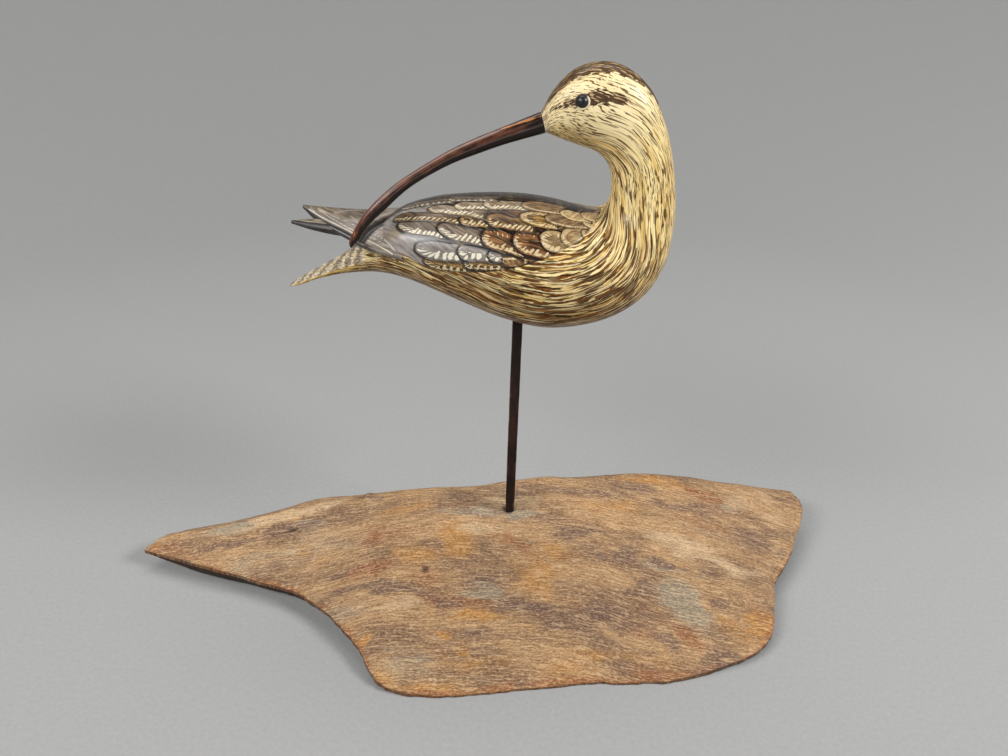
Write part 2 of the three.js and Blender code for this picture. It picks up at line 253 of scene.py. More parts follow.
RIBS = carried(RIBS, [1, 3])
BILL = carried(BILL, [1, 3])
RIGHT_TIP = carried(RIGHT_TIP, [2, 5])
LEFT_TIP = carried(LEFT_TIP, [2, 5])
SLAB = np.array(SLAB) * slab_scale


# Meshes

def loft(name, grid, material, nodes, uv=None, marks=None, looped=False):
    """One finished piece: a closed mesh through rings of points, with its material.

    Neighbouring points of neighbouring rings make quads, and each end ring is closed
    by a fan to its mean point, unless the rings loop. The faces are turned outward by
    the sign of the volume that they enclose.
    """
    rings, sides = grid.shape[:2]
    index = np.arange(rings * sides).reshape(rings, sides)
    beside = np.roll(index, -1, axis=1)
    if looped:
        after = np.roll(index, -1, axis=0)
        after_beside = np.roll(beside, -1, axis=0)
        quads = np.stack([index, beside, after_beside, after], -1).reshape(-1, 4)
        points = grid.reshape(-1, 3)
        fans = np.zeros((0, 3), int)
    else:
        quads = np.stack([index[:-1], beside[:-1], beside[1:], index[1:]], -1).reshape(-1, 4)
        first, last = rings * sides, rings * sides + 1
        points = np.vstack([grid.reshape(-1, 3), grid[0].mean(0), grid[-1].mean(0)])
        first_fan = np.stack([np.full(sides, first), beside[0], index[0]], -1)
        last_fan = np.stack([np.full(sides, last), index[-1], beside[-1]], -1)
        fans = np.vstack([first_fan, last_fan])
    halves = np.vstack([quads[:, [0, 1, 2]], quads[:, [0, 2, 3]], fans])
    a, b, c = (points[halves[:, k]] for k in range(3))
    inside_out = np.einsum("ij,ij->", a, np.cross(b, c)) < 0
    if inside_out:
        quads = quads[:, ::-1]
        fans = fans[:, ::-1]
    mesh = bpy.data.meshes.new(name)
    mesh.from_pydata((points * MM).tolist(), [], quads.tolist() + fans.tolist())
    mesh.polygons.foreach_set("use_smooth", np.ones(len(mesh.polygons), bool))
    if uv is not None:
        on_quads = np.stack([uv[:-1, :-1], uv[:-1, 1:], uv[1:, 1:], uv[1:, :-1]], 2).reshape(-1, 4, 2)
        ends = [uv[0].mean(0), uv[-1].mean(0)]
        first_uv = np.stack([np.broadcast_to(ends[0], (sides, 2)), uv[0, 1:], uv[0, :-1]], 1)
        last_uv = np.stack([np.broadcast_to(ends[1], (sides, 2)), uv[-1, :-1], uv[-1, 1:]], 1)
        on_fans = np.vstack([first_uv, last_uv])
        if inside_out:
            on_quads = on_quads[:, ::-1]
            on_fans = on_fans[:, ::-1]
        layer = mesh.uv_layers.new(name="flow")
        layer.data.foreach_set("uv", np.concatenate([on_quads.reshape(-1), on_fans.reshape(-1)]))
    for mark, values in (marks or {}).items():
        ends = [] if looped else [values[0].mean(), values[-1].mean()]
        layer = mesh.attributes.new(mark, "FLOAT", "POINT")
        layer.data.foreach_set("value", np.concatenate([values.reshape(-1), ends]))
    mesh.update()
    mesh.materials.append(material)
    made = bpy.data.objects.new(name, mesh)
    bpy.context.scene.collection.objects.link(made)
    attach(made, "root")
    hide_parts(*nodes)


# Materials

SEED_SHIFT = (13.7, 7.3)


def paint(code):
    """Linear colour of an sRGB hex value."""
    parts = [int(code[k:k + 2], 16) / 255 for k in (1, 3, 5)]
    return tuple(p / 12.92 if p <= 0.04045 else ((p + 0.055) / 1.055) ** 2.4 for p in parts) + (1.0,)


def add_node(tree, kind, *inputs, **settings):
    """Adds a shader node: settings are its properties, and inputs fill its usable sockets in order.

    An input is a node or socket to link, a plain value, a hex colour, None to leave the
    socket as it is, or a dict from socket names to those. A Mix node mixes colours.
    """
    made = tree.nodes.new("ShaderNode" + kind)
    if kind == "Mix":
        made.data_type = "RGBA"
    for name, value in settings.items():
        setattr(made, name, value)
    usable = [socket for socket in made.inputs if socket.enabled]
    pairs = []
    for place, value in enumerate(inputs):
        if isinstance(value, dict):
            pairs += [(made.inputs[name], item) for name, item in value.items()]
        else:
            pairs.append((usable[place], value))
    for socket, value in pairs:
        if isinstance(value, bpy.types.Node):
            value = next(out for out in value.outputs if out.enabled)
        if isinstance(value, bpy.types.NodeSocket):
            tree.links.new(value, socket)
        elif value is not None:
            socket.default_value = paint(value) if isinstance(value, str) else value
    return made


def new_material(name, *fields):
    """Empty material, the function that adds its nodes, and a socket for each field of its mesh."""
    made = bpy.data.materials.new(name)
    made.use_nodes = True
    made.node_tree.nodes.clear()
    add = partial(add_node, made.node_tree)
    marks = {field: add("Attribute", attribute_name=field).outputs["Fac"] for field in fields}
    return made, add, marks


def cloudy(add, flow, length, width, detail=2.0, seed=0):
    """Noise from 0 to 1 in blots of length by width mm along the flow, moved on by the seed."""
    shift = (seed * SEED_SHIFT[0], seed * SEED_SHIFT[1], 0)
    place = add("Mapping", flow, shift, None, (1 / length, 1 / width, 1))
    return add("TexNoise", {"Vector": place, "Scale": 1.0, "Detail": detail}, noise_dimensions="2D")


def dabs(add, flow, length, width, seed, small, large):
    """Brush dabs along the flow, above 0 inside.

    Each cell of a lattice of length by width mm holds one lens round its own point:
    size times (1 - (x / 0.6) squared) less 2.2 |y|, with its size drawn from small to
    large and its spine bent by up to a quarter of the cell.
    """
    shift = (seed * SEED_SHIFT[0], seed * SEED_SHIFT[1], 0)
    place = add("Mapping", flow, shift, None, (1 / length, 1 / width, 1))
    cells = add("TexVoronoi", {"Vector": place, "Scale": 1.0, "Randomness": 0.95}, voronoi_dimensions="2D")
    offset = add("VectorMath", place, cells.outputs["Position"], operation="SUBTRACT")
    parts = add("SeparateXYZ", offset)
    draws = add("SeparateColor", cells.outputs["Color"])
    squared = add("Math", parts.outputs["X"], parts.outputs["X"], operation="MULTIPLY")
    bend = add("MapRange", draws.outputs["Green"], 0.0, 1.0, -0.9, 0.9)
    spine = add("Math", squared, bend, parts.outputs["Y"], operation="MULTIPLY_ADD")
    across = add("Math", spine, operation="ABSOLUTE")
    size = add("MapRange", draws.outputs["Red"], 0.0, 1.0, small, large)
    taper = add("Math", squared, -1 / 0.36, 1.0, operation="MULTIPLY_ADD")
    body = add("Math", size, taper, operation="MULTIPLY")
    return add("Math", across, -2.2, body, operation="MULTIPLY_ADD")


def laid(add, ground, over, field, start, end, most, ramp="SMOOTHSTEP"):
    """One colour laid over another: none where the field is at start, its most where it is at end."""
    share = add("MapRange", field, start, end, 0.0, most, interpolation_type=ramp)
    return add("Mix", share, ground, over)


def painted_plumage():
    """Artist's oil over sealed basswood, brushed wet in small strokes along the feathers.

    It gives the eye straw-coloured ribbons parted by umber lines that swell and taper,
    thin dashes on the cheeks, more crowded marks under the belly, a ground that browns
    towards the belly and throat, partly the plumage's own colour and partly painted
    shade, and a satin varnish that shows white on the brow and nape.
    """
    material, add, marks = new_material(
        "brushed_oil_on_basswood",
        "crown", "stripe", "shade", "ink", "dash", "blob", "bars", "tail", "gold")
    flow = add("UVMap", uv_map="flow")
    slow = add("Math", cloudy(add, flow, 22, 8, 1.0), -0.5, operation="ADD")
    quick = add("Math", cloudy(add, flow, 4.5, 1.8, 2.0, 1), -0.5, operation="ADD")
    sway = add("Math", slow, 3.2, operation="MULTIPLY")
    sway = add("Math", quick, 0.7, sway, operation="MULTIPLY_ADD")
    wavy = add("VectorMath", flow, add("CombineXYZ", None, sway), operation="ADD")

    # Ribbons: cells 30 mm long and 1.6 mm wide, straw or brown by their own draw and by the shade field,
    # which is partly the plumage's browner colour underneath and partly painted shade.
    place = add("Mapping", wavy, None, None, (1 / 30, 1 / 1.6, 1))
    ribbons = {"Vector": place, "Scale": 1.0, "Randomness": 1.0}
    draws = add("SeparateColor", add("TexVoronoi", ribbons, voronoi_dimensions="2D").outputs["Color"])
    straw = add("Mix", draws.outputs["Red"], "#f1db9e", "#d2a856")
    brown = add("Mix", draws.outputs["Red"], "#9c5f18", "#4c2602")
    darker = add("Math", draws.outputs["Green"], -0.5, operation="ADD")
    darker = add("Math", darker, 0.8, marks["shade"], operation="MULTIPLY_ADD")
    ground = laid(add, straw, brown, darker, 0.42, 1.0, 1.0, "LINEAR")
    hairs = cloudy(add, wavy, 8, 0.55, 2.0, 2)
    calm = add("MapRange", marks["ink"], 0.0, 0.5, 0.5, 0.0)
    ground = add("Mix", calm, ground, "#faebc2")
    ground = laid(add, ground, "#f4e6bd", hairs, 0.5, 0.72, 0.4, "LINEAR")

    # Umber between the ribbons, its width swelling and fading.
    rim = add("TexVoronoi", ribbons, voronoi_dimensions="2D", feature="DISTANCE_TO_EDGE")
    width = add("MapRange", cloudy(add, wavy, 9, 2.0, 2.0, 3), 0.36, 0.66, -0.5, -0.06, clamp=False)
    width = add("Math", marks["ink"], 0.54, width, operation="MULTIPLY_ADD")
    between = add("Math", width, rim.outputs["Distance"], operation="SUBTRACT")
    umber = laid(add, "#3c2002", "#70400c", cloudy(add, wavy, 14, 3, 1.0, 4), 0.45, 0.65, 1.0, "LINEAR")
    ground = laid(add, ground, umber, between, -0.03, 0.05, 0.92)

    # Tapering strokes: thin ones everywhere, heavier ones on the breast and flanks.
    for length, across, seed, code, field, least, most in (
            (6.2, 2.0, 3, "#402406", "dash", 0.12, 0.54), (5.0, 1.9, 4, "#4a2c0b", "dash", -0.1, 0.46),
            (11.0, 2.2, 5, "#2e1702", "blob", 0.1, 0.74), (9.0, 1.8, 9, "#6f3a0c", "blob", 0.0, 0.6)):
        sparse = add("MapRange", marks[field], 0.0, 1.0, -0.6, 0.0)
        stroke = dabs(add, wavy, length, across, seed, least, most)
        stroke = add("Math", stroke, sparse, operation="ADD")
        ground = laid(add, ground, code, stroke, -0.04, 0.08, 0.9)
    light = dabs(add, wavy, 16.0, 1.8, 8, -0.2, 0.55)
    ground = laid(add, ground, "#f3e2b2", light, -0.04, 0.12, 0.7)
    bristles = cloudy(add, wavy, 11, 0.75, 3.0, 12)
    busy = add("MapRange", marks["ink"], 0.0, 0.6, 0.12, 1.0)
    for start, end, most, code in ((0.47, 0.31, 0.5, "#2b1805"), (0.55, 0.7, 0.3, "#f2dfa9")):
        share = add("MapRange", bristles, start, end, 0.0, most)
        ground = add("Mix", add("Math", share, busy, operation="MULTIPLY"), ground, code)

    # Crown band and eye stripe, their edges broken into teeth by the brush.
    teeth = dabs(add, wavy, 4.4, 1.9, 6, 0.4, 1.1)
    flecks = dabs(add, wavy, 5.0, 1.6, 7, -0.15, 0.8)
    for field, dark, light in (("crown", "#3a2317", "#b9986a"), ("stripe", "#3c2418", "#c3a377")):
        ragged = add("Math", teeth, 1.2, marks[field], operation="MULTIPLY_ADD")
        tone = laid(add, dark, light, flecks, 0.0, 0.12, 0.85, "LINEAR")
        ground = laid(add, ground, tone, ragged, -0.12, 0.12, 0.95)

    # Tail: slanted grey-brown bars on top and a gold edge.
    wobble = add("Math", quick, 1.25, marks["bars"], operation="MULTIPLY_ADD")
    wave = add("Math", add("Math", wobble, 2 * math.pi, operation="MULTIPLY"), operation="SINE")
    mottled = add("MapRange", cloudy(add, flow, 3.5, 1.6, 3.0, 5), 0.38, 0.62, 0.0, 1.0)
    pale = add("Mix", mottled, "#e2d5b2", "#a99572")
    violet = add("Mix", mottled, "#4b3a34", "#8c7c74")
    barred = laid(add, pale, violet, wave, -0.3, 0.7, 0.9)
    rough = add("Math", quick, 5.0, marks["tail"], operation="MULTIPLY_ADD")
    ground = laid(add, ground, barred, rough, -0.5, 0.5, 1.0, "LINEAR")
    ground = add("Mix", marks["gold"], ground, "#c9a250")

    relief = add("Bump", {"Height": hairs, "Strength": 0.25, "Distance": 0.3 * MM})
    gloss = add("MapRange", quick, -0.2, 0.2, 0.36, 0.48)
    add("OutputMaterial", add("BsdfPrincipled", {
        "Base Color": ground, "Roughness": gloss, "Normal": relief, "Specular IOR Level": 0.03,
        "Coat Weight": 0.27, "Coat Roughness": 0.24}))
    return material


def painted_wing():
    """Artist's oil on the carved wings, dark umber and slate under satin varnish.

    It gives the eye rust, tan and gold feathers with cream teeth along their lower
    margins, near-black gaps behind their tips, and plain slate primaries with pale
    hairlines.
    """
    material, add, marks = new_material(
        "brushed_oil_on_carved_wing",
        "slate", "rust", "tan", "gilt", "teeth", "margin", "gap", "lines", "arcs", "shadow", "bare")
    flow = add("UVMap", uv_map="flow")
    streaks = cloudy(add, flow, 5, 1.5, 4.0)
    cloud = cloudy(add, flow, 5, 3, 3.0, 1)
    streaky = add("MapRange", streaks, 0.25, 0.75, 0.0, 1.0)
    blotchy = add("MapRange", cloud, 0.3, 0.7, 0.0, 0.35)
    colour = add("Mix", streaky, "#150e0a", "#3a2b1e")
    for name, dark, light in (("slate", "#786f6a", "#b2aaa2"), ("rust", "#56301a", "#a47243"),
                              ("tan", "#a67d4c", "#ecd39f"), ("gilt", "#7c5219", "#d6ab5c")):
        tone = add("Mix", blotchy, add("Mix", streaky, dark, light), "#3a2b24")
        colour = add("Mix", marks[name], colour, tone)
    colour = add("Mix", marks["arcs"], colour, "#5c423b")
    outline = add("MapRange", marks["margin"], 0.05, 0.3, 0.55, 0.0, interpolation_type="SMOOTHSTEP")
    outline = add("Math", outline, streaky, operation="MULTIPLY")
    liner = add("Mix", marks["tan"], "#1f1510", "#66504c")
    colour = add("Mix", outline, colour, liner)
    colour = add("Mix", marks["gap"], colour, "#0e0a08")
    for length, across, seed, code in ((6.0, 1.3, 3, "#241710"), (5.0, 1.1, 4, "#d9bd8a")):
        stroke = dabs(add, flow, length, across, seed, -0.35, 0.42)
        stroke = add("MapRange", stroke, -0.03, 0.1, 0.0, 0.3, interpolation_type="SMOOTHSTEP")
        colour = add("Mix", add("Math", stroke, marks["bare"], operation="MULTIPLY"), colour, code)
    nibbled = add("Math", cloudy(add, flow, 1.5, 0.8, 2.0, 5), -0.5, operation="ADD")
    teeth = add("Math", nibbled, 1.1, marks["teeth"], operation="MULTIPLY_ADD")
    cream = add("Mix", cloudy(add, flow, 2.2, 1.2, 1.0, 2), "#e3d3ae", "#b79c69")
    cream = add("Mix", marks["slate"], cream, "#efecd8")
    colour = laid(add, colour, cream, teeth, -0.05, 0.14, 0.87)
    # Pale hairlines, and on the lower wing tip a painted highlight along its edge.
    colour = laid(add, colour, "#d6ccba", marks["lines"], -0.08, 0.08, 0.7)
    # Painted shade and shadow from the shadow field, on the wing tips.
    colour = add("Mix", marks["shadow"], colour, "#1d1a18")
    gloss = add("MapRange", cloud, 0.3, 0.7, 0.32, 0.46)
    relief = add("Bump", {"Height": streaks, "Strength": 0.15, "Distance": 0.2 * MM})
    add("OutputMaterial", add("BsdfPrincipled", {
        "Base Color": colour, "Roughness": gloss, "Normal": relief, "Specular IOR Level": 0.03,
        "Coat Weight": 0.85, "Coat Roughness": 0.27}))
    return material


def lacquered_bill():
    """Hardwood bill under dark lacquer.

    It gives the eye a near-black gloss that warms to red-brown over its upper half and
    near its tip, bare orange wood along the groove by the face, and a painted highlight
    of pale pinkish brown along the ridge and by the groove.
    """
    material, add, marks = new_material("dark_lacquer_on_hardwood", "warm_share", "bare", "painted_highlight")
    flow = add("UVMap", uv_map="flow")
    grain = cloudy(add, flow, 16, 0.9, 4.0)
    blotch = cloudy(add, flow, 6, 2.5, 3.0)
    dark = add("Mix", grain, "#0b0706", "#1d120e")
    warm = add("Mix", grain, "#3f2117", "#7d4c35")
    orange = add("Mix", grain, "#8a4a1c", "#c98a4a")
    worn = add("Math", blotch, marks["warm_share"], operation="ADD")
    colour = laid(add, dark, warm, worn, 0.62, 1.25, 0.9)
    # Painted highlight along the ridge and by the groove.
    colour = add("Mix", marks["painted_highlight"], colour, "#a98c80")
    torn = add("Math", blotch, marks["bare"], operation="ADD")
    colour = laid(add, colour, orange, torn, 1.0, 1.25, 1.0)
    gloss = add("MapRange", grain, 0.3, 0.7, 0.22, 0.36)
    relief = add("Bump", {"Height": grain, "Strength": 0.3, "Distance": 0.2 * MM})
    add("OutputMaterial", add("BsdfPrincipled", {
        "Base Color": colour, "Roughness": gloss, "Normal": relief, "Specular IOR Level": 0.2,
        "Coat Weight": 0.25, "Coat Roughness": 0.18}))
    return material


def eye_glass():
    """Black blown glass, a little dulled by a bloom 1.1 mm wide: it gives the eye one soft grey glint."""
    material, add, _ = new_material("black_blown_glass")
    place = add("TexCoord").outputs["Object"]
    bloom = add("TexNoise", {"Vector": place, "Scale": 0.9 / MM, "Detail": 1.0})
    colour = add("Mix", bloom, "#050607", "#11151a")
    add("OutputMaterial", add("BsdfPrincipled", {"Base Color": colour, "Roughness": 0.36, "IOR": 1.52}))
    return material


def lid_paint():
    """A thin ring of oil round the glass: it gives the eye a pale rim behind and below, and brown painted
    shade before and above.
    """
    material, add, marks = new_material("oil_lid_line", "pale")
    place = add("TexCoord").outputs["Object"]
    strokes = add("TexNoise", {"Vector": place, "Scale": 1.4 / MM, "Detail": 2.0})
    cream = add("Mix", strokes, "#ece0bd", "#c2ae84")
    brown = add("Mix", strokes, "#2b1c14", "#5a4230")
    # Brown where pale is low: painted shade round the front and top of the eye.
    colour = add("Mix", marks["pale"], brown, cream)
    add("OutputMaterial", add("BsdfPrincipled", {"Base Color": colour, "Roughness": 0.45}))
    return material


def stained_rod():
    """Whittled hardwood under a near-black stain, scuffed on its edges.

    It gives the eye a dark stick with faint brown runs of grain, 1.1 mm wide and 22 mm
    long, and paler scrapes.
    """
    material, add, marks = new_material("black_stain_on_whittled_wood", "edge")
    place = add("TexCoord").outputs["Object"]
    grain, scuffs, patches = (
        add("TexNoise", {"Vector": add("Mapping", place, None, None, (across, across, upward)),
                         "Scale": 1.0, "Detail": detail})
        for across, upward, detail in ((900, 45, 4.0), (420, 90, 3.0), (250, 60, 2.0)))
    colour = add("Mix", grain, "#0b0807", "#241813")
    colour = laid(add, colour, "#3b2117", patches, 0.48, 0.66, 0.6, "LINEAR")
    worn = add("Math", scuffs, marks["edge"], operation="ADD")
    colour = laid(add, colour, "#75665a", worn, 0.84, 1.02, 0.6, "LINEAR")
    relief = add("Bump", {"Height": grain, "Strength": 0.5, "Distance": 0.2 * MM})
    add("OutputMaterial", add("BsdfPrincipled", {
        "Base Color": colour, "Roughness": 0.5, "Normal": relief, "Specular IOR Level": 0.2}))
    return material


def driftwood():
    """Weathered softwood, bare and rain-washed, with its fibres standing.

    It gives the eye a dull tan ground under soft clouds of ochre, rust, violet-brown
    and silver-grey, stippled all over with short pale and dark fibres half a
    millimetre wide, and a few thin dark checks along the grain.
    """
    material, add, marks = new_material(
        "weathered_driftwood", "pale", "silver", "ochre", "plum", "red", "groove", "below")
    flow = add("UVMap", uv_map="flow")
    ground = cloudy(add, flow, 50, 16, 4.0, 1)
    colour = laid(add, "#785a43", "#a6815a", ground, 0.38, 0.62, 1.0, "LINEAR")
    for name, long, wide, code, seed in (
            ("ochre", 27, 13, "#b07b3a", 2), ("red", 30, 12, "#87512f", 3), ("pale", 32, 9, "#bfa380", 4),
            ("silver", 34, 8, "#8c8270", 5), ("plum", 22, 8, "#654b41", 6)):
        blot = add("Math", cloudy(add, flow, long, wide, 5.0, seed), marks[name], operation="ADD")
        colour = laid(add, colour, code, blot, 0.6, 1.15, 0.85)
    bend = add("Math", cloudy(add, flow, 8, 4, 2.0, 11), 2.0, operation="MULTIPLY")
    bent = add("VectorMath", flow, add("CombineXYZ", None, bend), operation="ADD")
    streaks = cloudy(add, bent, 10, 0.8, 4.0, 7)
    fibres = cloudy(add, bent, 1.9, 0.5, 4.0, 8)
    grit = cloudy(add, flow, 0.8, 0.6, 2.0, 9)
    checks = cloudy(add, bent, 19, 0.45, 2.0, 10)
    for field, start, end, most, code in (
            (streaks, 0.51, 0.66, 0.45, "#cfae84"), (streaks, 0.48, 0.32, 0.42, "#5c4332"),
            (fibres, 0.52, 0.68, 0.35, "#d8bd96"), (fibres, 0.46, 0.3, 0.45, "#4e3929"),
            (grit, 0.42, 0.28, 0.5, "#42302a"), (grit, 0.6, 0.72, 0.15, "#dcc29c"),
            (checks, 0.34, 0.27, 0.6, "#35241a")):
        colour = laid(add, colour, code, field, start, end, most, "LINEAR")
    # Painted shade: the underside, and the rims about half, darkened by the below field.
    colour = add("Mix", marks["below"], colour, "#1f1610")
    colour = add("Mix", marks["groove"], colour, "#2a1c16")
    height = add("Math", fibres, 0.6, streaks, operation="MULTIPLY_ADD")
    relief = add("Bump", {"Height": height, "Strength": 0.7, "Distance": 0.5 * MM})
    add("OutputMaterial", add("BsdfPrincipled", {
        "Base Color": colour, "Roughness": 0.88, "Normal": relief, "Specular IOR Level": 0.3}))
    return material


def backdrop_paper():
    """Seamless grey paper: it gives the eye an even ground with a fine fleck of pulp, 2 mm wide."""
    material, add, _ = new_material("seamless_grey_paper")
    place = add("TexCoord").outputs["Object"]
    mottle = add("TexNoise", {"Vector": place, "Scale": 0.5 / MM, "Detail": 3.0})
    colour = laid(add, "#959594", "#9b9b9a", mottle, 0.3, 0.7, 1.0, "LINEAR")
    add("OutputMaterial", add("BsdfPrincipled", {"Base Color": colour, "Roughness": 0.9}))
    return material


# Bird: wood under the paint

FLOW_RADIUS = 27.0            # half width at the breast, where the flow is at full size
LEAST_FLOW_RADIUS = 4.0
FLOW_STEPS = 900
FACE_RIB = 19.0
# Twist of the strokes between nape and breast: rib, degrees.
TWIST = [
    (0, 18), (12.8, 18), (13.6, 22), (15.2, 30), (16.4, 15), (17.4, 0), (18.2, -6), (19, 0),
    (20, 9), (21, 17), (22, 23),
]


def bird_skin(t, turn, lift=0.0):
    """Point of the skin at rib t: an ellipse from the rib's inner to its outer side.

    turn is 0 on the outer side, +-180 degrees on the inner side, and above 0 on the near
    flank. The point is the middle plus the reach times cos(turn), and sideways the shift
    less the half width times sin(turn), both lengthened by the lift.
    """
    rib = along(RIBS, t)
    phi = np.radians(turn)
    reach_x = (rib[..., 2] - rib[..., 0]) / 2
    reach_z = (rib[..., 3] - rib[..., 1]) / 2
    cos = np.cos(phi) * (1 + lift / np.hypot(reach_x, reach_z))
    x = (rib[..., 0] + rib[..., 2]) / 2 + reach_x * cos
    z = (rib[..., 1] + rib[..., 3]) / 2 + reach_z * cos
    y = rib[..., 5] - np.sin(phi) * (rib[..., 4] + lift)
    return np.stack([x, y, z], -1)


def rib_radius(t):
    """Mean of a rib's half width and half depth in mm, which turns degrees into lengths."""
    rib = along(RIBS, t)
    depth = np.hypot(rib[..., 2] - rib[..., 0], rib[..., 3] - rib[..., 1]) / 2
    return (rib[..., 4] + depth) / 2


def flow_map(t, turn):
    """Coordinates that follow the painted feathers: mm at the breast, and shrunk elsewhere
    by the square root of how much narrower the rib is, evenly over the face.

    Along: the length run along the outer and inner lines, blended round the rib.
    Across: the turn, twisted between nape and breast as the strokes are.
    """
    steps = np.linspace(0, LAST_RIB, FLOW_STEPS)
    rib = along(RIBS, steps)
    radius = np.maximum(rib_radius(np.minimum(steps, FACE_RIB)), LEAST_FLOW_RADIUS)
    scale = np.sqrt(FLOW_RADIUS / radius)
    lengths = []
    for x, z in ((0, 1), (2, 3)):
        run = np.hypot(np.diff(rib[:, x]), np.diff(rib[:, z])) * scale[1:]
        lengths.append(np.interp(t, steps, np.concatenate([[0], np.cumsum(run)])))
    outer_share = (1 + np.cos(np.radians(turn))) / 2
    u = lengths[0] * (1 - outer_share) + lengths[1] * outer_share
    sideways = np.sign(turn) * smooth(np.abs(turn) / 50)
    radius = rib_radius(np.minimum(t, FACE_RIB))
    v = np.sqrt(FLOW_RADIUS * radius) * np.radians(turn + sideways * eased(TWIST, t))
    return np.stack([u, v], -1)


# Crown band and eye stripe: rib, degrees round from the middle of the crown to the band's
# edge, to the stripe's middle, and half the stripe's width.
CROWN_EDGE = [
    (14.7, -6), (15.4, 4), (16.0, 9), (16.5, 15), (17.3, 25), (18.1, 33), (18.7, 38),
    (19.1, 41), (19.6, 41), (20.1, 41), (20.9, 42), (21.5, 34), (22, 26),
]
STRIPE_MIDDLE = [
    (16.4, 44), (17.05, 53), (17.7, 64), (18.3, 72), (18.85, 76), (19.4, 79), (20, 82), (20.8, 77),
    (21.6, 62),
]
STRIPE_HALF = [
    (16.4, -14), (17.05, -3), (17.7, 5), (18.3, 9), (18.85, 11.5), (19.4, 9), (20, 6), (20.8, 5),
    (21.6, 4),
]
# Edge of the tail's upper side: rib, degrees round from below.
TAIL_EDGE = [(0, 96), (1.2, 104), (2.2, 100), (3.5, 92), (4.2, 96), (22, 96)]
# Rib where the tail's bars end, mm from there per rib, and mm from the tip to the first ribs.
TAIL_ROOT = 3.85
TAIL_RIB_PITCH = 12
TAIL_RUN = [0, 7, 17, 29, 44]
BAR_PITCH = 7.0
BAR_SLANT = 0.55


def body_marks(t, turn):
    """Fields of paint on the body, in mm from their edges or as shares from 0 to 1."""
    away = np.abs(turn)
    degree = np.radians(rib_radius(t))
    crown = (eased(CROWN_EDGE, t) - away) * degree
    stripe = (eased(STRIPE_HALF, t, 0.15) - np.abs(away - eased(STRIPE_MIDDLE, t, 0.15))) * degree
    under = smooth((118 - away) / 85) * smooth((13.0 - t) / 4.0) * smooth((t - 2.5) / 1.5)
    flank = smooth((150 - away) / 60) * smooth((11.5 - t) / 3.0) * smooth((t - 2.8) / 1.2)
    throat = smooth((away - 100) / 38) * smooth((t - 14.8) / 1.5)
    face = 0.5 * smooth((t - 20.4) / 1.1) * smooth((away - 55) / 25)
    # shade: browner towards the belly, flanks, lower neck and throat; partly the plumage's own colour,
    # partly painted shade on the sides that face away from the light.
    shade = 0.75 * under + 0.12 * flank + 0.1 * smooth((16.0 - t) / 3.0) + 0.3 * throat
    ink = 0.62 * smooth((17.8 - t) / 3.5) + 0.15 * smooth((13.5 - t) / 2.5) + 0.25 * under + 0.4 * throat
    dash = 0.9 - 0.2 * smooth((16.0 - t) / 3.5) + 0.3 * throat + 0.3 * face
    blob = 0.95 * smooth((13.8 - t) / 3.0) + 0.3 * smooth((16.5 - t) / 2.0) + 0.95 * face + 0.35 * throat
    inner = away - eased(TAIL_EDGE, t)
    tail = np.minimum(inner * degree, (TAIL_ROOT - t) * TAIL_RIB_PITCH)
    side = along(RIBS, t)[..., 4] * np.sin(np.radians(away))
    run = np.interp(t, range(len(TAIL_RUN)), TAIL_RUN)
    bars = (run + BAR_SLANT * side) / BAR_PITCH
    gold = smooth((3.9 - t) / 1.0) * smooth((10 - np.abs(inner + 10)) / 7) * 0.7
    return {"crown": crown, "stripe": stripe, "shade": np.clip(shade, 0, 1), "ink": np.clip(ink, 0, 1.1),
            "dash": np.clip(dash, 0, 1.2), "blob": np.clip(blob, 0, 1.1),
            "bars": bars, "tail": tail, "gold": gold}


def make_body(material):
    """Body, tail, neck and head in one skin, its seam of flow along the back and throat."""
    t = np.linspace(0, LAST_RIB, BODY_RINGS)[:, None]
    turns = np.linspace(-180, 180, BODY_SIDES + 1)[None, :]
    flow = flow_map(t, turns)
    turns = turns[:, :-1]
    skin = bird_skin(t, turns)
    loft("painted_body", skin, material, ["carved_bird"], flow, body_marks(t, turns))


# Wings: rows of feathers painted and lightly carved on a raised panel

